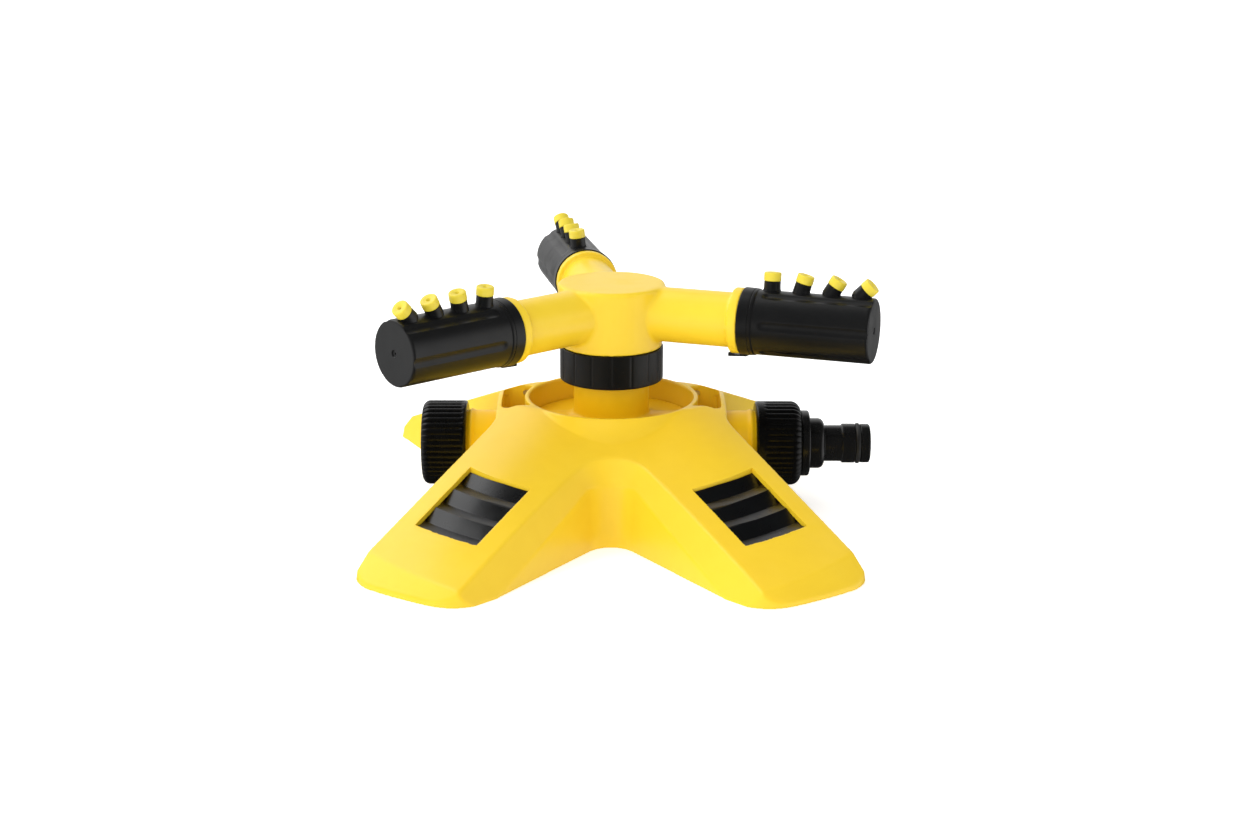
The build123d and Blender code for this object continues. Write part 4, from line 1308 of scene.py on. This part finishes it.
# ---------------------------------------------------------------- end cap and inlet
@dataclass
class PipeEnds:
    """The ribbed end cap, and on the other end the ribbed nut with the hose nipple."""

    pipe_height: float = 25.5
    start: float = 58.4
    bore: float = 12.98
    radius: float = 17.1
    rib_count: int = 40
    rib_depth: float = 0.46
    rib_inside: Range = (12.7, 15.7)  # radii between which the ribs begin
    rib_fade: float = 0.9
    rib_power: float = 0.7
    inner_round: float = 1.2
    cap_length: float = 18.1
    cap_round: float = 3.0
    cap_band: float = 1.2
    cap_floor: float = 71.5
    nut_length: float = 18.6
    nut_round: float = 4.2
    nut_band: float = 3.6
    nut_wall: float = 2.4
    nut_hole: float = 10.2
    washer_back: float = 71.4
    tail_radius: float = 9.9
    bead_radius: float = 11.6
    disc_radius: float = 13.35
    disc_width: float = 3.3
    body_radius: float = 10.2
    body_length: float = 6.1
    neck_radius: float = 7.35
    neck_length: float = 7.1
    land_radius: float = 8.0
    land_length: float = 5.4
    seal_section: float = 2.2
    seal_proud: float = 0.3
    tip_radius: float = 7.9
    tip_length: float = 3.8
    waterway: float = 4.8
    cap_grid: Grid = Grid(0.7, 480, 10)
    nut_grid: Grid = Grid(0.7, 480, 12)
    nipple_grid: Grid = Grid(0.6, 160)
    ring_points: int = 28
    ring_gap: float = 0.04

    def axis(self, towards: float) -> Spindle:
        """The pipe's axis, running towards +X or, with -1, towards -X."""
        return Spindle(Vector((0, 0, self.pipe_height)), Vector((towards, 0, 0)), Vector((0, 0, 1)))

    def ribs(self, band: float) -> RadiusRule:
        """Makes the rule for rounded grip ribs.

        Args:
            band: Length of the plain band at the inner end.

        Returns:
            The rule.
        """

        def rule(along: float, radius: float, angle: float) -> float:
            """Radius of the ribbed side.

            Args:
                along: Place along the pipe.
                radius: The plain radius.
                angle: Angle from up.

            Returns:
                The radius there.
            """
            if radius < self.rib_inside[0] or along < self.start:
                return radius
            fade = step_up(along, self.start + band, self.start + band + self.rib_fade)
            fade *= step_up(radius, *self.rib_inside)
            valley = 1 - abs(math.sin(angle * self.rib_count / 2)) ** self.rib_power
            return radius - self.rib_depth * valley * fade

        return rule

    def cap(self) -> bpy.types.Object:
        """Builds the end cap.

        Returns:
            The cap.
        """
        end = self.start + self.cap_length
        corners = [
            (self.start, self.bore, 0.4),
            (self.start, self.radius, self.inner_round),
            (end, self.radius, self.cap_round),
            (end, 6.0, 0.0),
            (end - 0.35, 5.4, 0.3),
            (end - 0.35, 0.0, 0.0),
            (self.cap_floor, 0.0, 0.0),
            (self.cap_floor, self.bore, 0.4),
        ]
        rule = self.ribs(self.cap_band)
        return turned_piece("ribbed_end_cap", self.axis(-1.0), corners, self.cap_grid, rule)

    def nut(self) -> bpy.types.Object:
        """Builds the inlet nut.

        Returns:
            The nut.
        """
        end = self.start + self.nut_length
        corners = [
            (self.start, self.bore, 0.4),
            (self.start, self.radius, self.inner_round),
            (end, self.radius, self.nut_round),
            (end, self.nut_hole, 0.3),
            (end - self.nut_wall, self.nut_hole, 0.0),
            (end - self.nut_wall, self.bore, 0.4),
        ]
        rule = self.ribs(self.nut_band)
        return turned_piece("ribbed_inlet_nut", self.axis(1.0), corners, self.nut_grid, rule)

    def connector(self) -> tuple[bpy.types.Object, bpy.types.Object]:
        """Builds the hose nipple and its seal ring.

        Returns:
            The nipple and the ring.
        """
        nut_end = self.start + self.nut_length
        bead_end = nut_end - self.nut_wall - 0.1
        disc = nut_end + 0.1
        body = disc + self.disc_width
        neck = body + self.body_length
        land = neck + self.neck_length
        groove = land + self.land_length
        floor = self.land_radius + self.seal_proud - self.seal_section
        groove_end = groove + self.seal_section + 0.2
        tip = groove_end + self.tip_length
        corners = [
            (self.washer_back + 0.1, self.waterway, 0.0),
            (self.washer_back + 0.1, self.bead_radius, 0.2),
            (bead_end, self.bead_radius, 0.2),
            (bead_end, self.tail_radius, 0.0),
            (disc, self.tail_radius, 0.0),
            (disc, self.disc_radius, 0.3),
            (body, self.disc_radius, 0.9),
            (body, self.body_radius, 0.35),
            (neck, self.body_radius, 2.4),
            (neck, self.neck_radius, 0.25),
            (land, self.neck_radius, 0.3),
            (land + 0.25, self.land_radius, 0.3),
            (groove, self.land_radius, 0.25),
            (groove, floor, 0.1),
            (groove_end, floor, 0.1),
            (groove_end, self.tip_radius, 0.25),
            (tip, self.tip_radius, 0.9),
            (tip, self.waterway + 0.7, 0.2),
            (tip - 1.2, self.waterway, 0.3),
        ]
        nipple = turned_piece("hose_nipple", self.axis(1.0), corners, self.nipple_grid)
        middle, centre = (groove + groove_end) / 2, floor + self.seal_section / 2
        reach = self.seal_section / 2 - self.ring_gap
        circle = []
        for step in range(self.ring_points):
            angle = 2 * math.pi * step / self.ring_points
            along, outwards = middle + reach * math.cos(angle), centre + reach * math.sin(angle)
            circle.append((along, outwards, 0.0))
        ring = turned_piece("nipple_seal_ring", self.axis(1.0), circle, self.nipple_grid)
        return nipple, ring

    def build(self, shop: Workshop) -> None:
        """Builds and dresses the pieces on both ends of the pipe.

        Args:
            shop: Dresses the pieces.
        """
        shop.put(self.cap(), "end_cap")
        shop.put(self.nut(), "inlet_nut")
        nipple, ring = self.connector()
        shop.put(nipple, "inlet_connector")
        shop.put(ring, "connector_seal_ring")
        shop.dress("end_cap_washer", "inlet_washer")


# ---------------------------------------------------------------- studio
@dataclass(frozen=True)
class SoftBox:
    """A soft box in the room, whose light fades between two angles in degrees."""

    towards: Triple
    inner: float
    outer: float
    power: float


@dataclass(frozen=True)
class Lamp:
    """A wide lamp, with the angle in degrees over which its light comes."""

    name: str
    towards: Triple
    energy: float
    angle: float


@dataclass
class Studio:
    """Pale floor, soft light and the camera."""

    pitch: float = 16.29
    yaw: float = 0.35
    roll: float = 0.25
    place: Triple = (0.0, -0.83796, 0.28162)
    lens: float = 61.95
    sensor: float = 36.0
    nearest: float = 0.01
    floor_radius: float = 14.0
    floor_facets: int = 96
    floor_drop: float = 0.0002
    floor_colour: Colour = (0.93, 0.93, 0.93)
    fleck_scale: float = 240.0
    fleck_roughness: float = 0.1
    fleck_shade: float = 0.985
    fleck_strength: float = 0.02
    fleck_depth: float = 0.0001
    floor_roughness: float = 0.75
    floor_glow: float = 0.45
    room: float = 0.05
    boxes: tuple[SoftBox, ...] = (
        SoftBox((-0.58, 0.38, 0.72), 16.0, 34.0, 2.1),
        SoftBox((0.0, 1.0, 0.2), 18.0, 50.0, 0.75),
        SoftBox((1.0, -0.1, -0.15), 18.0, 46.0, 1.1),
        SoftBox((-0.58, -0.77, -0.12), 4.0, 26.0, 0.4),
        SoftBox((-1.0, 0.1, -0.25), 18.0, 46.0, 0.7),
    )
    lamps: tuple[Lamp, ...] = (
        Lamp("overhead", (-0.2, -0.1, 1.0), 1.7, 170.0),
        Lamp("front", (-0.5, -0.7, 0.55), 1.7, 75.0),
    )

    def floor(self) -> None:
        """Lays the floor, a wide faintly glowing disc with a paper grain, hidden from reflections."""
        shape = bmesh.new()
        bmesh.ops.create_circle(
            shape, cap_ends=True, segments=self.floor_facets, radius=self.floor_radius
        )
        made = link_mesh("floor_sheet", shape)
        made.location.z = -self.floor_drop
        material = bpy.data.materials.new("floor_paper")
        material.use_nodes = True
        graph = Graph(material.node_tree)
        fleck = graph.noise(graph.place(), self.fleck_scale, 4.0)
        shade_colour = tuple(part * self.fleck_shade for part in self.floor_colour)
        graph.surface(
            {
                "Base Color": graph.blend(fleck, self.floor_colour, shade_colour),
                "Roughness": fleck * self.fleck_roughness + self.floor_roughness,
                "Normal": graph.bump(fleck, self.fleck_strength, self.fleck_depth),
                "Emission Color": (1, 1, 1, 1),
                "Emission Strength": self.floor_glow,
            }
        )
        made.data.materials.append(material)
        made.visible_glossy = False

    def light(self) -> None:
        """Sets a dim room with soft boxes, and two wide lamps that don't show in reflections."""
        world = bpy.data.worlds.new("pale_room")
        bpy.context.scene.world = world
        world.use_nodes = True
        graph = Graph(world.node_tree)
        where = graph.node("ShaderNodeTexCoord", {}, {}).outputs["Generated"]
        settings = {"operation": "DOT_PRODUCT"}
        strength: Any = self.room
        for box in self.boxes:
            values = {0: where, 1: Vector(box.towards).normalized()}
            facing = graph.node("ShaderNodeVectorMath", settings, values).outputs["Value"]
            fade = (math.cos(math.radians(box.outer)), math.cos(math.radians(box.inner)))
            strength = graph.spread(Wire(graph, facing), fade) * box.power + strength
        values = {"Color": (1, 1, 1, 1), "Strength": strength}
        background = graph.node("ShaderNodeBackground", {}, values)
        graph.node("ShaderNodeOutputWorld", {}, {"Surface": background.outputs[0]})
        for lamp in self.lamps:
            data = bpy.data.lights.new(lamp.name, "SUN")
            data.energy = lamp.energy
            data.angle = math.radians(lamp.angle)
            made = bpy.data.objects.new(lamp.name, data)
            made.rotation_euler = Vector(lamp.towards).to_track_quat("Z", "Y").to_euler()
            made.visible_glossy = False
            bpy.context.scene.collection.objects.link(made)

    def camera(self) -> None:
        """Sets the camera."""
        pitch, yaw, roll = (math.radians(angle) for angle in (self.pitch, self.yaw, self.roll))
        level_reach = math.cos(pitch)
        ahead = Vector((math.sin(yaw) * level_reach, math.cos(yaw) * level_reach, -math.sin(pitch)))
        level = Vector((math.cos(yaw), -math.sin(yaw), 0))
        above = level.cross(ahead)
        right = level * math.cos(roll) + above * math.sin(roll)
        up = above * math.cos(roll) - level * math.sin(roll)
        placed = Matrix((right, up, -ahead)).transposed().to_4x4()
        placed.translation = Vector(self.place)
        data = bpy.data.cameras.new("camera")
        data.sensor_width = self.sensor
        data.lens = self.lens
        data.clip_start = self.nearest
        made = bpy.data.objects.new("camera", data)
        made.matrix_world = placed
        bpy.context.scene.collection.objects.link(made)
        bpy.context.scene.camera = made

    def build(self) -> None:
        """Sets up the floor, the light and the camera."""
        bpy.context.scene.view_settings.view_transform = "Standard"
        self.floor()
        self.light()
        self.camera()


def main() -> None:
    """Builds the sprinkler's pieces in order, then the studio."""
    logging.basicConfig(level=logging.INFO, format="%(message)s")
    shop = Workshop()
    shop.open()
    Stand().build(shop)
    Rotor().build(shop)
    for arm in Arm:
        SprayTube(arm).build(shop)
    PipeEnds().build(shop)
    Studio().build()


if __name__ == "__main__":
    main()
